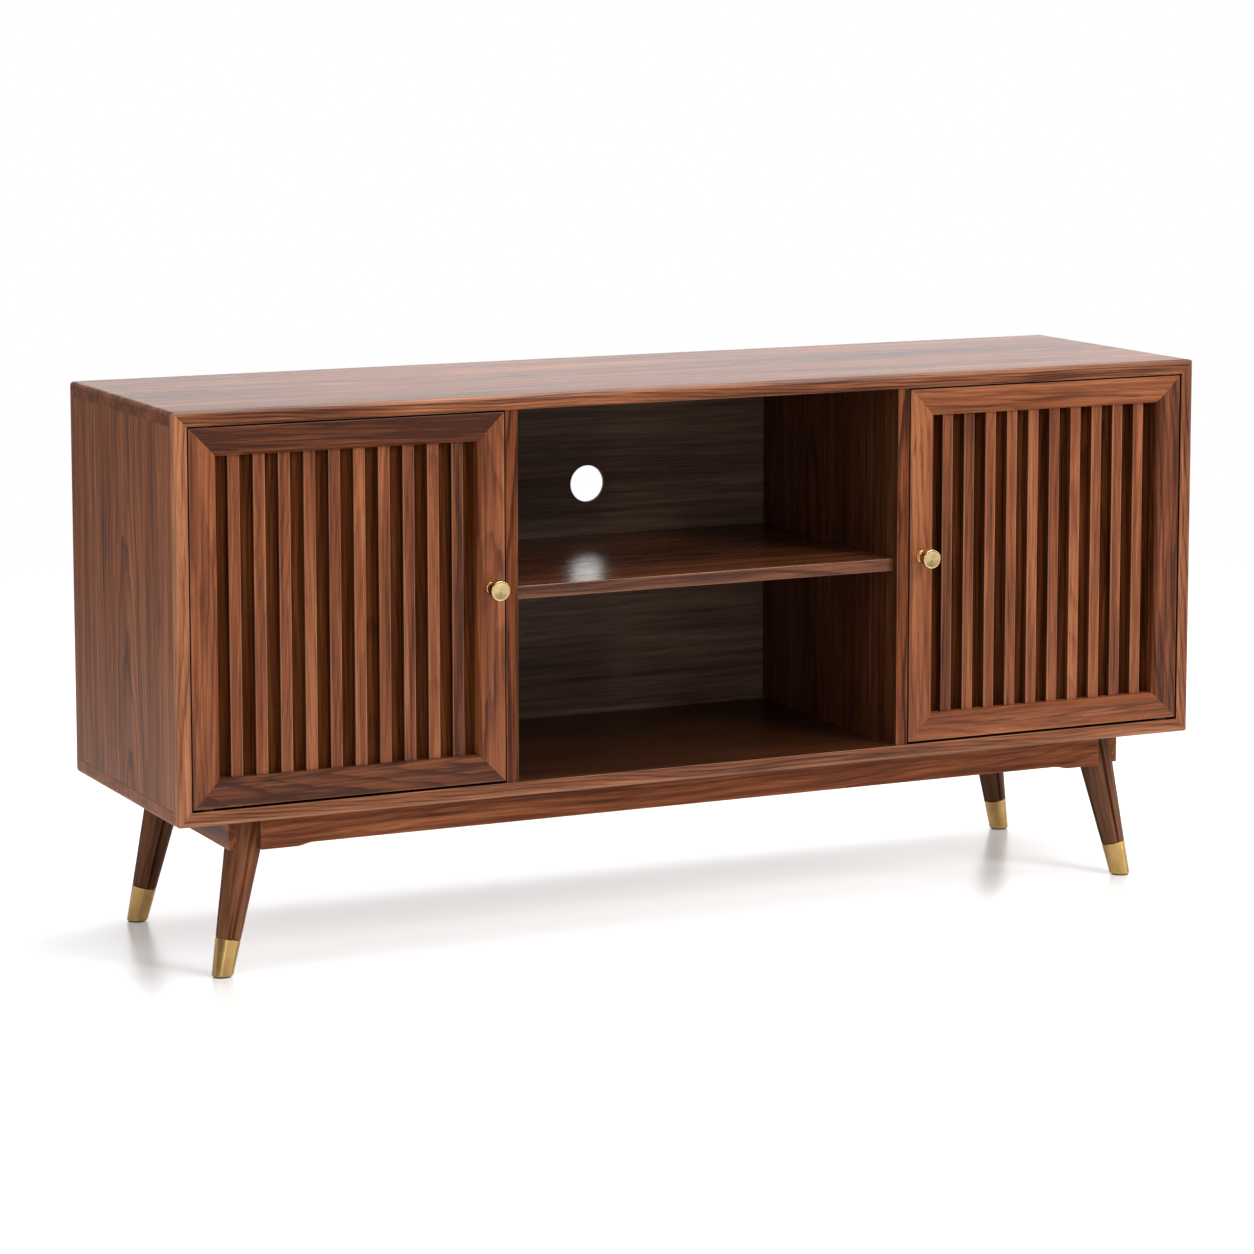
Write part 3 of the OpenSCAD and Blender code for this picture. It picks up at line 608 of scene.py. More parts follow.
def beechFinish(name, fromPlace):
    # fromPlace takes the grain from where the wood lies, for pieces that have no grain laid on them
    finish, tree, shader = newFinish(name)
    if fromPlace:
        grain = tree.nodes.new("ShaderNodeTexCoord").outputs["Object"]
        elsewhere = (3.0, 5.0, 7.0)
    else:
        grain = readAttribute(tree, "grain").outputs["Vector"]
        lot = readAttribute(tree, "lot").outputs["Vector"]
        elsewhere = vectors(tree, "MULTIPLY", lot, (31.0, 47.0, 53.0))
    line = cloud(tree, vectors(tree, "MULTIPLY_ADD", grain, (9.0, 210.0, 210.0), elsewhere), 3.0, 0.6)
    fleck = cloud(tree, vectors(tree, "MULTIPLY_ADD", grain, (120.0, 900.0, 900.0), elsewhere), 1.0)
    fleck = spanned(tree, fleck, 0.58, 0.68, 0.0, 0.5, True)
    colour = shades(tree, line, [(0.3, (0.40, 0.235, 0.12)), (0.7, (0.60, 0.40, 0.225))])
    colour = blend(tree, fleck, colour, (0.30, 0.15, 0.07))
    rough = sums(tree, "MULTIPLY_ADD", line, 0.15, 0.52)
    surface(tree, shader, colour, rough, line, 0.2, 0.1 * mm)
    return finish


bareBeech = beechFinish("bareBeech", False)
dowelBeech = beechFinish("dowelBeech", True)


# Metals, rubber and plastic

def turnedMetal(name, colour, deep, gloss, brushed, lines):
    # metal turned on a lathe: fine lines run round its axis
    finish, tree, shader = newFinish(name)
    wrap = tree.nodes.new("ShaderNodeUVMap")
    wrap.uv_map = "turned"
    scratch = cloud(tree, vectors(tree, "MULTIPLY", wrap.outputs[0], (3.0, lines, 1.0)), 2.0, 0.6)
    patina = cloud(tree, vectors(tree, "MULTIPLY", wrap.outputs[0], (3.0, 45.0, 1.0)), 2.0, 0.5, 0.3)
    mixed = sums(tree, "MULTIPLY_ADD", patina, 0.65, sums(tree, "MULTIPLY", scratch, 0.35))
    tint = shades(tree, mixed, [(0.35, deep), (0.75, colour)])
    rough = sums(tree, "MULTIPLY_ADD", scratch, 0.10, gloss - 0.05)
    rough = sums(tree, "MULTIPLY_ADD", patina, 0.06, rough)
    surface(tree, shader, tint, rough, scratch, 0.04, 0.02 * mm)
    way = tree.nodes.new("ShaderNodeTangent")
    way.direction_type = "UV_MAP"
    way.uv_map = "turned"
    tree.links.new(way.outputs[0], shader.inputs["Tangent"])
    shader.inputs["Metallic"].default_value = 1.0
    shader.inputs["Anisotropic"].default_value = brushed
    return finish


def plainMetal(name, colour, deep, gloss):
    # small fittings, with the cloudy look of plating
    finish, tree, shader = newFinish(name)
    place = tree.nodes.new("ShaderNodeTexCoord").outputs["Object"]
    cloudy = cloud(tree, place, 3.0, 0.6, scale=260.0)
    fine = cloud(tree, place, 2.0, 0.6, scale=2400.0)
    tint = shades(tree, cloudy, [(0.3, deep), (0.7, colour)])
    rough = sums(tree, "MULTIPLY_ADD", cloudy, 0.16, gloss - 0.08)
    surface(tree, shader, tint, rough, fine, 0.08, 0.03 * mm)
    shader.inputs["Metallic"].default_value = 1.0
    return finish


def mouldedFinish(name, colour, wearAndHighlight, gloss, grit):
    # rubber or plastic with a fine moulded skin
    finish, tree, shader = newFinish(name)
    place = tree.nodes.new("ShaderNodeTexCoord").outputs["Object"]
    skin = cloud(tree, place, 2.0, 0.6, scale=grit)
    broad = cloud(tree, place, 3.0, 0.5, scale=90.0)
    tint = shades(tree, broad, [(0.3, colour), (0.75, wearAndHighlight)])
    rough = sums(tree, "MULTIPLY_ADD", skin, 0.14, gloss - 0.07)
    surface(tree, shader, tint, rough, skin, 0.2, 0.08 * mm)
    return finish


knobBrass = turnedMetal("knobBrass", (0.93, 0.73, 0.40), (0.74, 0.52, 0.23), 0.22, 0.70, 2600.0)
ferruleBrass = turnedMetal("ferruleBrass", (0.56, 0.36, 0.145), (0.40, 0.245, 0.088), 0.15, 0.80, 1900.0)
# the bushes are nearly black, painted shade for the gaps where their flanges show
paintedShadeBushBrass = turnedMetal("paintedShadeBushBrass", (0.060, 0.036, 0.018), (0.028, 0.017, 0.010), 0.55, 0.2, 2200.0)
platedSteel = plainMetal("platedSteel", (0.62, 0.63, 0.65), (0.42, 0.43, 0.45), 0.30)
plainBrass = plainMetal("plainBrass", (0.72, 0.50, 0.22), (0.50, 0.31, 0.12), 0.34)
footRubber = mouldedFinish("footRubber", (0.012, 0.011, 0.010), (0.030, 0.027, 0.024), 0.72, 1600.0)
catchPlastic = mouldedFinish("catchPlastic", (0.030, 0.016, 0.010), (0.048, 0.027, 0.018), 0.42, 1300.0)
print("finishes are ready")


# The case

caseBoards = {
    "outerRadius": 5 * mm,       # rounding of the case's outer edges
    "ease": 0.7 * mm,            # slight softening where boards meet
    "frontEdge": 0.9 * mm,       # the dividers' and shelves' front edges
    "shelfHoleMouth": 0.4 * mm,
    "shelfHoleStep": 32 * mm,    # spare pin holes above and below each pin
    "shelfHoleDepth": 8 * mm,
    "bushFlange": 3 * mm,        # how far a bush's flange is wider than its bore
}
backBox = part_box("back_panel")
caseLeft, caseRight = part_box("left_side")[0].x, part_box("right_side")[1].x
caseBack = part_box("top_panel")[1].y
play = 0.05 * mm
pivotBushes = solidBoxes("pivot_bushes")
shelfPins = solidBoxes("shelf_pins")


def backRebate():
    reach = Vector((play, 0, play))
    return board(backBox[0] - reach, Vector((backBox[1].x, caseBack + 5 * mm, backBox[1].z)) + reach, ease=0)


def pivotBores():
    bores = []
    for low, high in pivotBushes:
        radius = (high.x - low.x) / 2 - caseBoards["bushFlange"] + play
        centre = Vector(((low.x + high.x) / 2, (low.y + high.y) / 2, 0))
        above = low.z > (cadLow.z + cadHigh.z) / 2
        start = Vector((centre.x, centre.y, low.z - 1 * mm if above else high.z + 1 * mm))
        bores.append(drill(start, up if above else -up, radius, high.z - low.z + 1 * mm + play))
    return bores


def pinHoles(low, high):
    # rows of holes for shelf pins in an upright board
    holes = []
    for box in shelfPins:
        pin = middle(box)
        if min(abs(pin.x - low.x), abs(pin.x - high.x)) > 1 * mm:
            continue
        way = right if abs(pin.x - low.x) < 1 * mm else -right
        radius = (box[1].z - box[0].z) / 2 + play
        for row in (-1, 0, 1):
            spot = Vector((pin.x, pin.y, pin.z + row * caseBoards["shelfHoleStep"]))
            holes.append(drill(spot, way, radius, caseBoards["shelfHoleDepth"] + play,
                               24, caseBoards["shelfHoleMouth"]))
    return holes


def caseBoard(name, node, finish, along, through, rounded, tools):
    low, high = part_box(node)
    shape = carve(board(low, high, rounded, caseBoards["outerRadius"], caseBoards["ease"]), tools)
    ends = [(way, endWalnut) for way in (right, -right)] if along == right else []
    # the faces inside the case take the darker finish, painted shade
    makePiece(name, shape, "cabinet", [node], finish, along, through,
              faceFinishes=[(-through, paintedShadeInnerWalnut)] + ends)


caseBoard("topPanel", "top_panel", topWalnut, right, up,
          ("top left", "top right", "top back", "left back", "right back"), [backRebate()] + pivotBores())
caseBoard("bottomPanel", "bottom_panel", panelWalnut, right, -up,
          ("bottom left", "bottom right", "bottom back", "left back", "right back"),
          [backRebate()] + pivotBores())
caseBoard("leftSidePanel", "left_side", panelWalnut, up, -right, ("left back",),
          [backRebate()] + pinHoles(*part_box("left_side")))
caseBoard("rightSidePanel", "right_side", panelWalnut, up, right, ("right back",),
          [backRebate()] + pinHoles(*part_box("right_side")))


def uprightDivider(name, node):
    low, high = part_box(node)
    shape = board(low, high, ("left front", "right front"), caseBoards["frontEdge"], caseBoards["ease"], 3)
    shape = carve(shape, pinHoles(low, high))
    # the face towards the open middle bay takes the dark finish, painted shade
    makePiece(name, shape, "cabinet", [node], panelWalnut, up, -right,
              faceFinishes=[(right if low.x < 0 else -right, paintedShadeRecessWalnut)])


uprightDivider("leftDivider", "left_divider")
uprightDivider("rightDivider", "right_divider")

for name, node, slotName in (("centreShelf", "centre_shelf", "walnut_board"),
                             ("leftCupboardShelf", "left_shelf", "walnut_veneer_dark"),
                             ("rightCupboardShelf", "right_shelf", "walnut_veneer_dark")):
    shape = board(*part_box(node), ("top front", "bottom front"),
                  caseBoards["frontEdge"], caseBoards["ease"], 3)
    makePiece(name, shape, "cabinet", [node], shelfWalnut, right, up)


edging = {
    "width": 18 * mm,
    "depth": 8 * mm,
    "outerRadius": 6 * mm,       # the rounded arris along the outside
    "innerRadius": 0.7 * mm,
    "corner": 5 * mm,            # rounding of the case's four corners
    "seam": 0.2 * mm,
    # the left edging is set lightest, a painted highlight where its rounded arris catches the light from the
    # left
    "tones": {"top": 0.26, "bottom": 0.40, "left": 0.80, "right": 0.4},
}


def edgingOutline():
    w, d = edging["width"], edging["depth"]
    points = [(0, -d), (w, -d), (w, 0), (0, 0)]
    radii = [0.15 * mm, 0.3 * mm, edging["innerRadius"], edging["outerRadius"]]
    return softOutline(points, radii, 8)


def frameSide(side, low, high):
    # the place of a frame's side: x along it, y inward and z to the front
    face = low.y
    spots = {"bottom": (Vector((low.x, face, low.z)), right, up),
             "right": (Vector((high.x, face, low.z)), up, -right),
             "top": (Vector((high.x, face, high.z)), -right, -up),
             "left": (Vector((low.x, face, high.z)), -up, right)}
    origin, along, inward = spots[side]
    place = Matrix((along, inward, front)).transposed().to_4x4()
    length = high.x - low.x if side in ("bottom", "top") else high.z - low.z
    return Matrix.Translation(origin) @ place, length, along


caseFront = (Vector((caseLeft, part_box("top_lipping")[0].y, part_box("bottom_lipping")[0].z)),
             Vector((caseRight, 0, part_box("top_lipping")[1].z)))
for side in ("bottom", "right", "top", "left"):
    place, length, along = frameSide(side, *caseFront)
    inside = place.col[1].to_3d()
    shape = mitredBar(edgingOutline(), length, edging["corner"], edging["seam"], place)
    if side in ("top", "bottom"):
        shape = carve(shape, pivotBores())
    # the edging's inner faces take the darker finish, painted shade in the gaps round the doors
    makePiece(f"{side}Edging", shape, "cabinet", [f"{side}_lipping"], edgingWalnut,
              along, front, tone=edging["tones"][side], faceFinishes=[(inside, paintedShadeInnerWalnut)])


backPanelLook = {
    "screwHead": 7.6 * mm,       # countersinks for the screws
    "screwSink": 2.4 * mm,
    "screwShank": 3.7 * mm,
    "holeEdge": 0.8 * mm,        # softened rim of the cable hole
}
cableHole = next(m for m in frame["record"]["mounts"] if m["name"] == "cable_hole")
backScrews = solidBoxes("back_screws")


def countersunkBores(boxes, direction, wide):
    # direction points from a screw's tip to its head
    r, s = wide["screwHead"] / 2, wide["screwShank"] / 2
    profile = [(0, -1 * mm), (r, -1 * mm), (r, 0), (s, wide["screwSink"]), (s, 30 * mm), (0, 30 * mm)]
    return [turned(profile, aimed(faceCentre(box, direction), -direction), 24) for box in boxes]


holeRadius = cableHole["dims"]["r_mm"] * mm
holeSpot = Vector(cableHole["pos_m"])
rim = backPanelLook["holeEdge"]
half = (backBox[1].y - backBox[0].y) / 2
holeProfile = [(0, -half - 2 * mm), (holeRadius + rim + 2 * mm, -half - 2 * mm), (holeRadius, -half + rim),
               (holeRadius, half - rim), (holeRadius + rim + 2 * mm, half + 2 * mm), (0, half + 2 * mm)]
shape = board(*backBox)
shape = carve(shape, [turned(holeProfile, aimed(holeSpot, -front), 72)]
              + countersunkBores(backScrews, -front, backPanelLook))
makePiece("backPanel", shape, "cabinet", ["back_panel"], rearWalnut, right, front,
          faceFinishes=[(front, backWalnut)])
print("case is built")


# The base

apronLook = {
    "endLength": 45 * mm,        # the deeper end beside each leg
    "curveLength": 22 * mm,
    "relief": 3.5 * mm,          # how much shallower the middle is
    "edge": 1.2 * mm,
}


def longApron(name, node):
    low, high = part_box(node)
    length, tall, a = high.x - low.x, high.z - low.z, apronLook
    rise = [(a["endLength"] + a["curveLength"] * i / 12, a["relief"] * (1 - math.cos(math.pi * i / 12)) / 2)
            for i in range(13)]
    fall = [(length - x, y) for x, y in reversed(rise)]
    outline = [(0, tall), (0, 0), *rise, *fall, (length, 0), (length, tall)]
    place = Matrix.Translation((low.x, high.y, low.z)) @ Matrix.Rotation(math.pi / 2, 4, "X")
    shape = prism(outline, high.y - low.y, place, a["edge"])
    makePiece(name, shape, "cabinet", [node], apronWalnut, right, front)


longApron("frontApron", "front_apron")
longApron("backApron", "back_apron")
for name, node, outside in (("leftApron", "left_apron", "left"), ("rightApron", "right_apron", "right")):
    shape = board(*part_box(node), (f"{outside} bottom", f"{outside} front", f"{outside} back"),
                  apronLook["edge"], caseBoards["ease"], 3)
    makePiece(name, shape, "cabinet", [node], apronWalnut, -front,
              right if outside == "right" else -right)


legLook = {
    "tiltSide": 12.0,            # splay to the side, in degrees
    "tiltEnd": 4.5,              # splay to the front or back
    "topDiameter": 49 * mm,
    "footDiameter": 24.6 * mm,
    "ferrule": 44 * mm,
    "ferruleProud": 0.3 * mm,
    "ferruleWall": 1.2 * mm,
    "ferruleEdge": 1.6 * mm,     # rounding at the ferrule's foot
    "pad": 1.6 * mm,             # the ferrules end this far above the floor
    "padDiameter": 21 * mm,
    "shoulder": 0.5 * mm,        # the fine gap between wood and brass
    # each leg's tone is painted shade, darkest for the back right leg under the case
    "tones": {"front_left": 0.50, "front_right": 0.28, "back_left": 0.33, "back_right": 0.0},
}
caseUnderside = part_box("bottom_panel")[0].z
frontFoot = Vector(next(m for m in frame["record"]["mounts"] if m["name"] == "front_left_foot")["pos_m"])
midFeet = (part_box("front_left_ferrule")[0].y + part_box("back_left_ferrule")[1].y) / 2
tanSide, tanEnd = (math.tan(math.radians(legLook[k])) for k in ("tiltSide", "tiltEnd"))
legLength = caseUnderside / (math.cos(math.radians(legLook["tiltSide"]))
                             * math.cos(math.radians(legLook["tiltEnd"])))


def legLean(side, end):
    # the way a leg's axis goes up; side is -1 at the left and end is -1 at the front
    aside = -side * tanSide
    back = -end * tanEnd / math.cos(math.radians(legLook["tiltSide"]))
    return Vector((aside, back, 1)).normalized()


def legRadius(along):
    return (legLook["footDiameter"]
            + (legLook["topDiameter"] - legLook["footDiameter"]) * along / legLength) / 2


def trimmed(shape, height, keepAbove):
    # cuts a shape off level at a height and closes it
    cut = bmesh.ops.bisect_plane(shape, geom=shape.verts[:] + shape.edges[:] + shape.faces[:],
                                 plane_co=(0, 0, height), plane_no=(0, 0, 1),
                                 clear_inner=keepAbove, clear_outer=not keepAbove)
    rim = [e for e in cut["geom_cut"] if isinstance(e, bmesh.types.BMEdge)]
    bmesh.ops.edgeloop_fill(shape, edges=rim)
    return tidy(shape)


def legProfile():
    start = legLook["pad"] + legLook["ferrule"]
    gap = legLook["shoulder"]
    points = [(0, start - 6 * mm), (legRadius(start) - 2 * gap, start - 6 * mm),
              (legRadius(start) - 2 * gap, start + gap), (legRadius(start + 3 * gap), start + 3 * gap)]
    for i in range(1, 11):
        along = start + 3 * gap + (legLength + 14 * mm - start) * i / 10
        points.append((legRadius(along), along))
    return points + [(0, points[-1][1])]


def ferruleProfile():
    w = legLook["ferruleWall"]
    top = legLook["pad"] + legLook["ferrule"]
    start = -legLook["padDiameter"] / 2
    foot, head = legRadius(start) + legLook["ferruleProud"], legRadius(top) + legLook["ferruleProud"]
    points = [(0, start), (foot, start), (head, top), (head - w, top), (head - w - 0.2 * mm, top - 3 * mm)]
    outside = softProfile(points, [0, 0, 0.45 * mm, 0.3 * mm, 0], 6)
    return outside + [Vector((0, top - 3 * mm))]


def levelFerrule(place):
    # cut level just above the floor, with the cut's rim rounded
    shape = trimmed(turned(ferruleProfile(), place, 56), legLook["pad"], True)
    rim = [e for e in sharpEdges(shape, 45)
           if all(abs(v.co.z - legLook["pad"]) < 0.01 * mm for v in e.verts)]
    roundOver(shape, rim, legLook["ferruleEdge"], 5)
    return shape


def apronSpaces(corner):
    # the aprons run into the leg's head
    side = corner.split("_")[1]
    spaces = []
    for node in (f"{side}_apron", "front_apron" if corner.startswith("front") else "back_apron"):
        low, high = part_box(node)
        reach = Vector((play, play, play))
        spaces.append(board(low - reach, high + reach, ease=0))
    return spaces


for corner, side, end in (("front_left", -1, -1), ("front_right", 1, -1),
                          ("back_left", -1, 1), ("back_right", 1, 1)):
    foot = Vector((side * abs(frontFoot.x), midFeet + end * abs(frontFoot.y - midFeet), 0))
    lean = legLean(side, end)
    place = aimed(foot, lean)
    title = corner.split("_")[0] + corner.split("_")[1].capitalize()
    leg = trimmed(turned(legProfile(), place, 56), caseUnderside, False)
    leg = carve(leg, apronSpaces(corner))
    makePiece(f"{title}Leg", leg, "cabinet", [f"{corner}_leg"], turnedWalnutWithShade,
              lean, Vector((lean.z, 0, -lean.x)).normalized(), 30, legLook["tones"][corner])
    makePiece(f"{title}Ferrule", levelFerrule(place), "cabinet",
              [f"{corner}_ferrule"], ferruleBrass, smooth=50)

pads = []
for side in (-1, 1):
    for end in (-1, 1):
        foot = Vector((side * abs(frontFoot.x), midFeet + end * abs(frontFoot.y - midFeet), 0))
        r = legLook["padDiameter"] / 2
        pad = turned([(0, -8 * mm), (r, -8 * mm), (r, 8 * mm), (0, 8 * mm)],
                     aimed(foot, legLean(side, end)), 40)
        pads.append(trimmed(trimmed(pad, 0, True), legLook["pad"], False))
makePiece("footPads", gather(pads), "cabinet", ["foot_pads"], footRubber)

braceLook = {"width": 20 * mm, "edge": 1.5 * mm}
braceScrewBoxes = solidBoxes("brace_screws")
for index, (low, high) in enumerate(solidBoxes("corner_braces")):
    # a bar across the corner, cut level with the two aprons
    centre = middle((low, high))
    wide = braceLook["width"] * math.sqrt(2)
    size = high.x - low.x
    outline = [(size, 0), (size - wide, 0), (0, size - wide), (0, size)]
    toLeft, toFront = centre.x < 0, centre.y < midFeet
    flip = Matrix.Diagonal((1 if toLeft else -1, 1 if toFront else -1, 1, 1))
    corner = Vector((low.x if toLeft else high.x, low.y if toFront else high.y, low.z))
    shape = prism(outline, high.z - low.z, Matrix.Translation(corner) @ flip, braceLook["edge"])
    screws = [b for b in braceScrewBoxes if (middle(b) - centre).length < 40 * mm]
    shape = carve(shape, countersunkBores(screws, -up, backPanelLook))
    along = Vector((-flip[0][0], flip[1][1], 0)).normalized()
    makePiece(f"cornerBrace{index + 1}", tidy(shape), "cabinet", ["corner_braces"], bareBeech,
              along, up)
print("base is built")


# The doors

doorFrame = {
    "width": 34 * mm,
    "thick": 22 * mm,
    "bevel": 4 * mm,             # the slope round the opening
    "panelThick": 5 * mm,
    "step": 7 * mm,              # how far the panel lies under the frame
    "edge": 1.0 * mm,
    "corner": 0.8 * mm,
    "seam": 0.22 * mm,
    "tones": {"left_top_rail": 0.20, "left_hinge_stile": 0.58, "left_lock_stile": 0.48,
              "left_bottom_rail": 0.14, "right_top_rail": 0.54, "right_hinge_stile": 0.25,
              "right_lock_stile": 0.60, "right_bottom_rail": 0.56},
}
slatLook = {"edge": 1.3 * mm}
knobLook = {
    "headEdge": 0.9 * mm,
    "neckFillet": 1.6 * mm,
    "collarEdge": 0.8 * mm,
    "head": 12 * mm,
    "stem": 11 * mm,
    "collar": 16 * mm,
    "collarThick": 2.5 * mm,
    "dish": 0.6 * mm,            # the face is turned slightly hollow
}


def frameOutline():
    d = doorFrame
    points = [(0, -d["thick"]), (d["width"] - d["step"], -d["thick"]),
              (d["width"] - d["step"], d["panelThick"] - d["thick"]),
              (d["width"], d["panelThick"] - d["thick"]),
              (d["width"], -d["bevel"]), (d["width"] - d["bevel"], 0), (0, 0)]
    return softOutline(points, [0.8 * mm, 0.3 * mm, 0, 0.3 * mm, 0.5 * mm, 0.6 * mm, d["edge"]], 4)


def knobProfile(length):
    k = knobLook
    headStart = length - k["head"]
    r, s, c = 12 * mm, k["stem"] / 2, k["collar"] / 2
    points = [(0, 0), (c, 0), (c, k["collarThick"]), (s, k["collarThick"] + 0.6 * mm), (s, headStart),
              (r, headStart), (r, length), (r - 2.2 * mm, length), (0, length - k["dish"])]
    radii = [0, 0.2 * mm, k["collarEdge"], k["neckFillet"] / 2, k["neckFillet"], k["headEdge"],
             k["headEdge"], 0.6 * mm, 0]
    return softProfile(points, radii, 5)


def crossRecess(radius, depth):
    # the cross of a screw's head, cut down from z = 0
    arms = []
    for turn in (0, math.pi / 2):
        arm = board((-radius, -radius * 0.22, -1 * mm), (radius, radius * 0.22, depth), ease=0)
        arm.transform(Matrix.Rotation(turn, 4, "Z"))
        arms.append(arm)
    return arms


def woodScrew(length, headDiameter, headThick, shank, sunk):
    # head at z = 0, with the shank along +z
    r, s = headDiameter / 2, shank / 2
    if sunk:
        points = [(0, 0.25 * mm), (r - 0.3 * mm, 0.25 * mm), (r, 0.5 * mm), (s, headThick),
                  (s * 0.86, headThick + 1 * mm)]
        depth = 0
    else:
        points = [(0, -headThick), (r * 0.55, -headThick), (r * 0.9, -headThick * 0.72),
                  (r, -headThick * 0.25), (r, 0), (s, 0)]
        depth = -headThick
    points += [(s * 0.86, length - 4 * mm), (0, length)]
    screw = turned([Vector(p) for p in points], Matrix.Identity(4), 28)
    for arm in crossRecess(r * 0.5, 0.9 * mm):
        arm.transform(Matrix.Translation((0, 0, depth)))
        screw = carve(screw, [arm])
    return screw


def setScrews(name, pattern, boxes, direction, body, nodes):
    # copies one screw to each place, its head towards the direction
    screws = []
    for box in boxes:
        screw = pattern.copy()
        spin = Matrix.Rotation(dice.uniform(0, math.pi), 4, "Z")
        screw.transform(aimed(faceCentre(box, direction), -direction) @ spin)
        screws.append(screw)
    makePiece(name, gather(screws), body, nodes, platedSteel, smooth=35)


sunkScrew = {"head": 7 * mm, "headThick": 2.2 * mm, "shank": 3.5 * mm}
for name, node, direction in (("backScrews", "back_screws", -front), ("braceScrews", "brace_screws", -up),
                              ("catchScrews", "catch_screws", -up)):
    boxes = solidBoxes(node)
    length = (faceCentre(boxes[0], direction) - faceCentre(boxes[0], -direction)).length
    pattern = woodScrew(length, sunkScrew["head"], sunkScrew["headThick"], sunkScrew["shank"], True)
    setScrews(name, pattern, boxes, direction, "cabinet", [node])
    pattern.free()


def roundPeg(low, high, axis, edge):
    # a pin from low to high along an axis, with softened ends
    r = min(high[i] - low[i] for i in range(3) if i != axis) / 2
    long = high[axis] - low[axis]
    start = middle((low, high))
    start[axis] = low[axis]
    way = Vector([1 if i == axis else 0 for i in range(3)])
    points = softProfile([(0, 0), (r, 0), (r, long), (0, long)], [0, edge, edge, 0], 3)
    return turned(points, aimed(start, way), 28)


makePiece("shelfPins", gather([roundPeg(*b, 0, 0.5 * mm) for b in shelfPins]), "cabinet",
          ["shelf_pins"], platedSteel)

bushLook = {"bore": 8.1 * mm, "edge": 0.4 * mm}
bushes = []
for low, high in pivotBushes:
    above = low.z > (cadLow.z + cadHigh.z) / 2
    flange = (high.x - low.x) / 2
    body, bore = flange - caseBoards["bushFlange"], bushLook["bore"] / 2
    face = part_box("top_panel")[0].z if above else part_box("bottom_panel")[1].z
    thick = abs((low.z if above else high.z) - face)
    deep = (high.z - low.z) - thick
    whole = thick + deep
    loop = [(bore, 0), (flange, 0), (flange, thick), (body, thick), (body, whole), (bore, whole), (bore, 0)]
    soft = softProfile(loop, [0, bushLook["edge"], 0, 0, 0.3 * mm, 0.2 * mm, 0], 3)
    start = Vector((middle((low, high)).x, middle((low, high)).y, low.z if above else high.z))
    bushes.append(turned(soft, aimed(start, up if above else -up), 40))
# the bushes' near-black finish is painted shade
makePiece("pivotBushes", gather(bushes), "cabinet", ["pivot_bushes"], paintedShadeBushBrass)

catchLook = {"edge": 1.0 * mm, "poleWidth": 24 * mm, "poleHeight": 1.6 * mm, "poleProud": 0.15 * mm}
catches, poles = [], []
catchBoxes = solidBoxes("door_catches")
catchScrewBoxes = solidBoxes("catch_screws")
for low, high in catchBoxes:
    faceLow = Vector((low.x, low.y + catchLook["poleProud"], low.z))
    shape = board(faceLow, high,
                  ("left bottom", "right bottom", "left front", "right front", "bottom front"),
                  catchLook["edge"], 0.3 * mm, 3)
    near = [b for b in catchScrewBoxes if abs(middle(b).x - middle((low, high)).x) < 30 * mm]
    catches.append(carve(shape, countersunkBores(near, -up, backPanelLook)))
    face = Vector((middle((low, high)).x, low.y, middle((low, high)).z))
    for drop in (-3.2 * mm, 3.2 * mm):
        w, h = catchLook["poleWidth"] / 2, catchLook["poleHeight"] / 2
        poles.append(board(face + Vector((-w, 0, drop - h)), face + Vector((w, 6 * mm, drop + h)),
                           ease=0.2 * mm))
makePiece("doorCatches", gather(catches), "cabinet", ["door_catches"], catchPlastic)
makePiece("catchPoles", gather(poles), "cabinet", ["door_catches"], platedSteel)


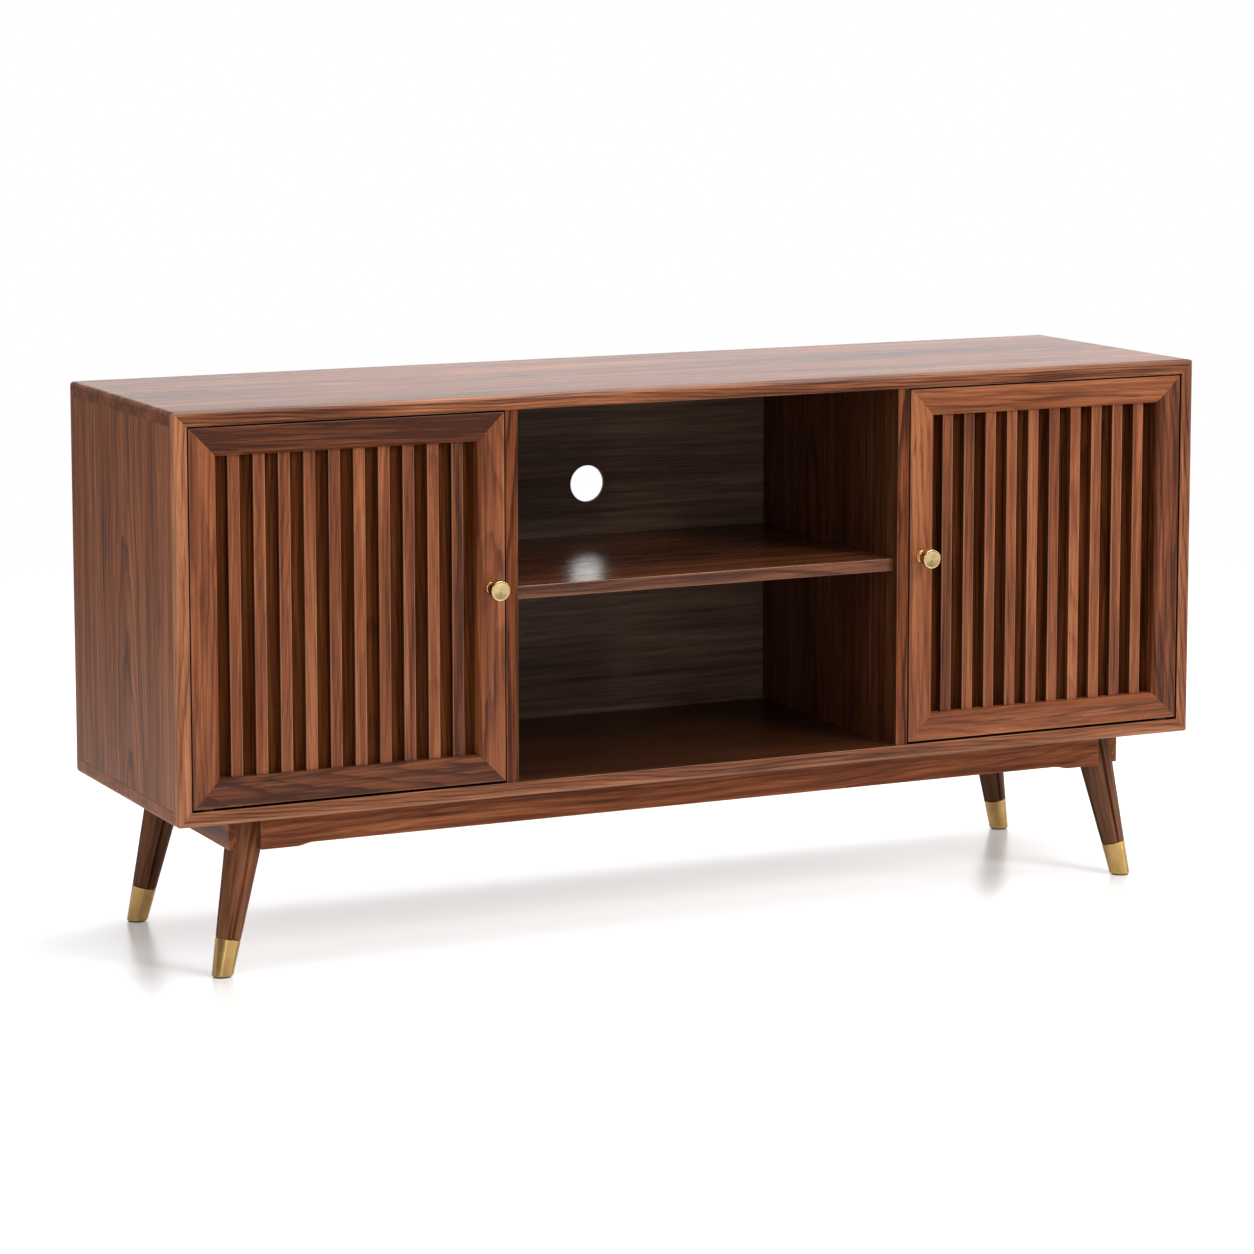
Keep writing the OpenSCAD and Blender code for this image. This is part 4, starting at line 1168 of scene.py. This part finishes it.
def buildDoor(hand):
    body = f"{hand}_door"
    nodes = {key: f"{hand}_{key}" for key in ("hinge_stile", "lock_stile", "top_rail", "bottom_rail")}
    low, high = cornersOf([corner for n in nodes.values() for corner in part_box(n)])
    hingeSide, lockSide = ("left", "right") if hand == "left" else ("right", "left")
    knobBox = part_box(f"{hand}_knob")
    knobSpot = Vector((middle(knobBox).x, low.y, middle(knobBox).z))
    for side, key in (("bottom", "bottom_rail"), (lockSide, "lock_stile"),
                      ("top", "top_rail"), (hingeSide, "hinge_stile")):
        place, length, along = frameSide(side, low, high)
        inward = place.col[1].to_3d()
        shape = mitredBar(frameOutline(), length, doorFrame["corner"], doorFrame["seam"], place)
        words = key.split("_")
        # the door's outer edges take the dark finish, painted shade in the gaps
        makePiece(f"{hand}Door{words[0].capitalize()}{words[1].capitalize()}", shape, body,
                  [nodes[key]], frameWalnut, along, front,
                  tone=doorFrame["tones"][nodes[key]],
                  faceFinishes=[(-inward, paintedShadeRecessWalnut), ((front + inward).normalized(), bevelWalnut)])
    panel = board(*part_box(f"{hand}_door_panel"))
    # the panel behind the slats takes the dark finish, painted shade in the grooves
    makePiece(f"{hand}DoorPanel", panel, body, [f"{hand}_door_panel"],
              paintedShadeGrooveWalnut, up, front)
    slats = [board(*b, ("left front", "right front"), slatLook["edge"], 0.2 * mm, 3)
             for b in solidBoxes(f"{hand}_slats")]
    # the slats' left faces take the same dark finish, painted shade on the side away from the light
    makePiece(f"{hand}DoorSlats", gather(slats), body, [f"{hand}_slats"], slatWalnut,
              up, front, faceFinishes=[(-right, paintedShadeGrooveWalnut)])
    length = low.y - knobBox[0].y
    makePiece(f"{hand}Knob", turned(knobProfile(length), aimed(knobSpot, front), 64), body,
              [f"{hand}_knob"], knobBrass, smooth=50)
    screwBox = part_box(f"{hand}_knob_screw")
    back = high.y
    headThick = screwBox[1].y - back
    pattern = woodScrew(back - screwBox[0].y, screwBox[1].x - screwBox[0].x, headThick, 4 * mm, False)
    pattern.transform(aimed(Vector((knobSpot.x, back, knobSpot.z)), front))
    makePiece(f"{hand}KnobScrew", pattern, body, [f"{hand}_knob_screw"], platedSteel,
              smooth=35)
    pins = [roundPeg(*b, 2, 0.6 * mm) for b in solidBoxes(f"{hand}_pivot_pins")]
    makePiece(f"{hand}PivotPins", gather(pins), body, [f"{hand}_pivot_pins"], platedSteel)
    shape = board(*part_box(f"{hand}_strike"),
                  ("left top", "right top", "left bottom", "right bottom"), 1.8 * mm, 0.15 * mm)
    makePiece(f"{hand}Strike", shape, body, [f"{hand}_strike"], platedSteel)


buildDoor("left")
buildDoor("right")
print("doors are built")


# Joinery that stays hidden inside keeps its own solids

for node, finish in (("case_dowels", dowelBeech), ("divider_dowels", dowelBeech),
                     ("leg_bolts", platedSteel), ("leg_inserts", plainBrass)):
    mesh = frame["nodes"][node].data
    mesh.materials.clear()
    mesh.materials.append(finish)


# Floor, light and camera

studio = {
    "floorSize": 9.0,
    "floorShade": 0.78,
    "floorLift": 0.17,           # keeps the shadows on the floor pale
    "fade": (1.5, 3.2),          # metres from the middle over which the floor melts into the background
    "skyLight": 0.32,            # the even light from all round
    "topPower": 135.0,
    "keyPower": 84.0,
    "rightPower": 34.0,
    "stripPower": 13.0,
    "sidePower": 16.0,
    "backPower": 44.0,
}


def paleFloor():
    mesh = bpy.data.meshes.new("studioFloor")
    h = studio["floorSize"] / 2
    mesh.from_pydata([(-h, -h, 0), (h, -h, 0), (h, h, 0), (-h, h, 0)], [], [(0, 1, 2, 3)])
    floor = standing("studioFloor", mesh)
    finish, tree, shader = newFinish("palePaint")
    place = tree.nodes.new("ShaderNodeTexCoord").outputs["Object"]
    speck = cloud(tree, place, 3.0, 0.6, scale=9.0)
    shade = studio["floorShade"]
    tree.links.new(shades(tree, speck, [(0.3, (shade, shade, shade)), (0.7, (shade + 0.01,) * 3)]),
                   shader.inputs["Base Color"])
    shader.inputs["Roughness"].default_value = 0.30
    shader.inputs["Specular IOR Level"].default_value = 0.25
    shader.inputs["Emission Color"].default_value = (1, 1, 1, 1)
    shader.inputs["Emission Strength"].default_value = studio["floorLift"]
    far = tree.nodes.new("ShaderNodeVectorMath")
    far.operation = "LENGTH"
    tree.links.new(place, far.inputs[0])
    clear = tree.nodes.new("ShaderNodeBsdfTransparent")
    melt = tree.nodes.new("ShaderNodeMixShader")
    tree.links.new(spanned(tree, far.outputs["Value"], *studio["fade"], 0.0, 1.0, True), melt.inputs[0])
    tree.links.new(shader.outputs[0], melt.inputs[1])
    tree.links.new(clear.outputs[0], melt.inputs[2])
    tree.links.new(melt.outputs[0], tree.nodes["Material Output"].inputs["Surface"])
    mesh.materials.append(finish)


def softbox(name, spot, target, width, height, power):
    light = bpy.data.lights.new(name, "AREA")
    light.shape = "RECTANGLE"
    light.size, light.size_y = width, height
    light.energy = power
    lamp = standing(name, light)
    lamp.location = spot
    lamp.rotation_euler = (Vector(target) - Vector(spot)).to_track_quat("-Z", "Y").to_euler()
    lamp.visible_camera = False


def studioSky():
    world = bpy.data.worlds.new("studioSky")
    bpy.context.scene.world = world
    world.use_nodes = True
    tree = world.node_tree
    sky = tree.nodes["Background"]
    seen = tree.nodes.new("ShaderNodeBackground")
    sky.inputs["Color"].default_value = (1, 1, 1, 1)
    sky.inputs["Strength"].default_value = studio["skyLight"]
    seen.inputs["Color"].default_value = (1, 1, 1, 1)
    seen.inputs["Strength"].default_value = 1.0
    path = tree.nodes.new("ShaderNodeLightPath")
    pick = tree.nodes.new("ShaderNodeMixShader")
    tree.links.new(path.outputs["Is Camera Ray"], pick.inputs[0])
    tree.links.new(sky.outputs[0], pick.inputs[1])
    tree.links.new(seen.outputs[0], pick.inputs[2])
    tree.links.new(pick.outputs[0], tree.nodes["World Output"].inputs["Surface"])


view = {
    "spot": (-2.2673, -4.7039, 1.2310),
    "turn": 0.4507,              # to the right of straight ahead, in radians
    "tilt": 0.1293,              # downwards
    "lens": 118.86,
    "shift": (-0.0233, -0.12),
}
paleFloor()
studioSky()
centre = (0, 0, 0.4)
softbox("topSoftbox", (0.3, -0.2, 3.4), centre, 3.2, 2.4, studio["topPower"])
softbox("keySoftbox", (1.75, -3.2, 2.7), centre, 1.3, 1.3, studio["keyPower"])
softbox("rightSoftbox", (3.5, -1.9, 1.3), centre, 0.9, 1.5, studio["rightPower"])
softbox("stripSoftbox", (-2.5, -3.0, 0.9), centre, 0.22, 1.8, studio["stripPower"])
softbox("sideSoftbox", (-3.2, -1.4, 1.7), centre, 1.6, 1.6, studio["sidePower"])
softbox("backSoftbox", (2.0, 4.2, 1.1), (0, 0, 0.6), 4.0, 1.4, studio["backPower"])

camera = standing("camera", bpy.data.cameras.new("camera"))
camera.location = view["spot"]
look = Vector((math.sin(view["turn"]) * math.cos(view["tilt"]),
               math.cos(view["turn"]) * math.cos(view["tilt"]), -math.sin(view["tilt"])))
camera.rotation_euler = look.to_track_quat("-Z", "Y").to_euler()
camera.data.lens = view["lens"]
camera.data.sensor_width = 36
camera.data.shift_x, camera.data.shift_y = view["shift"]
camera.data.clip_end = 200
bpy.context.scene.camera = camera
bpy.context.scene.view_settings.view_transform = "Standard"
print("studio is set")
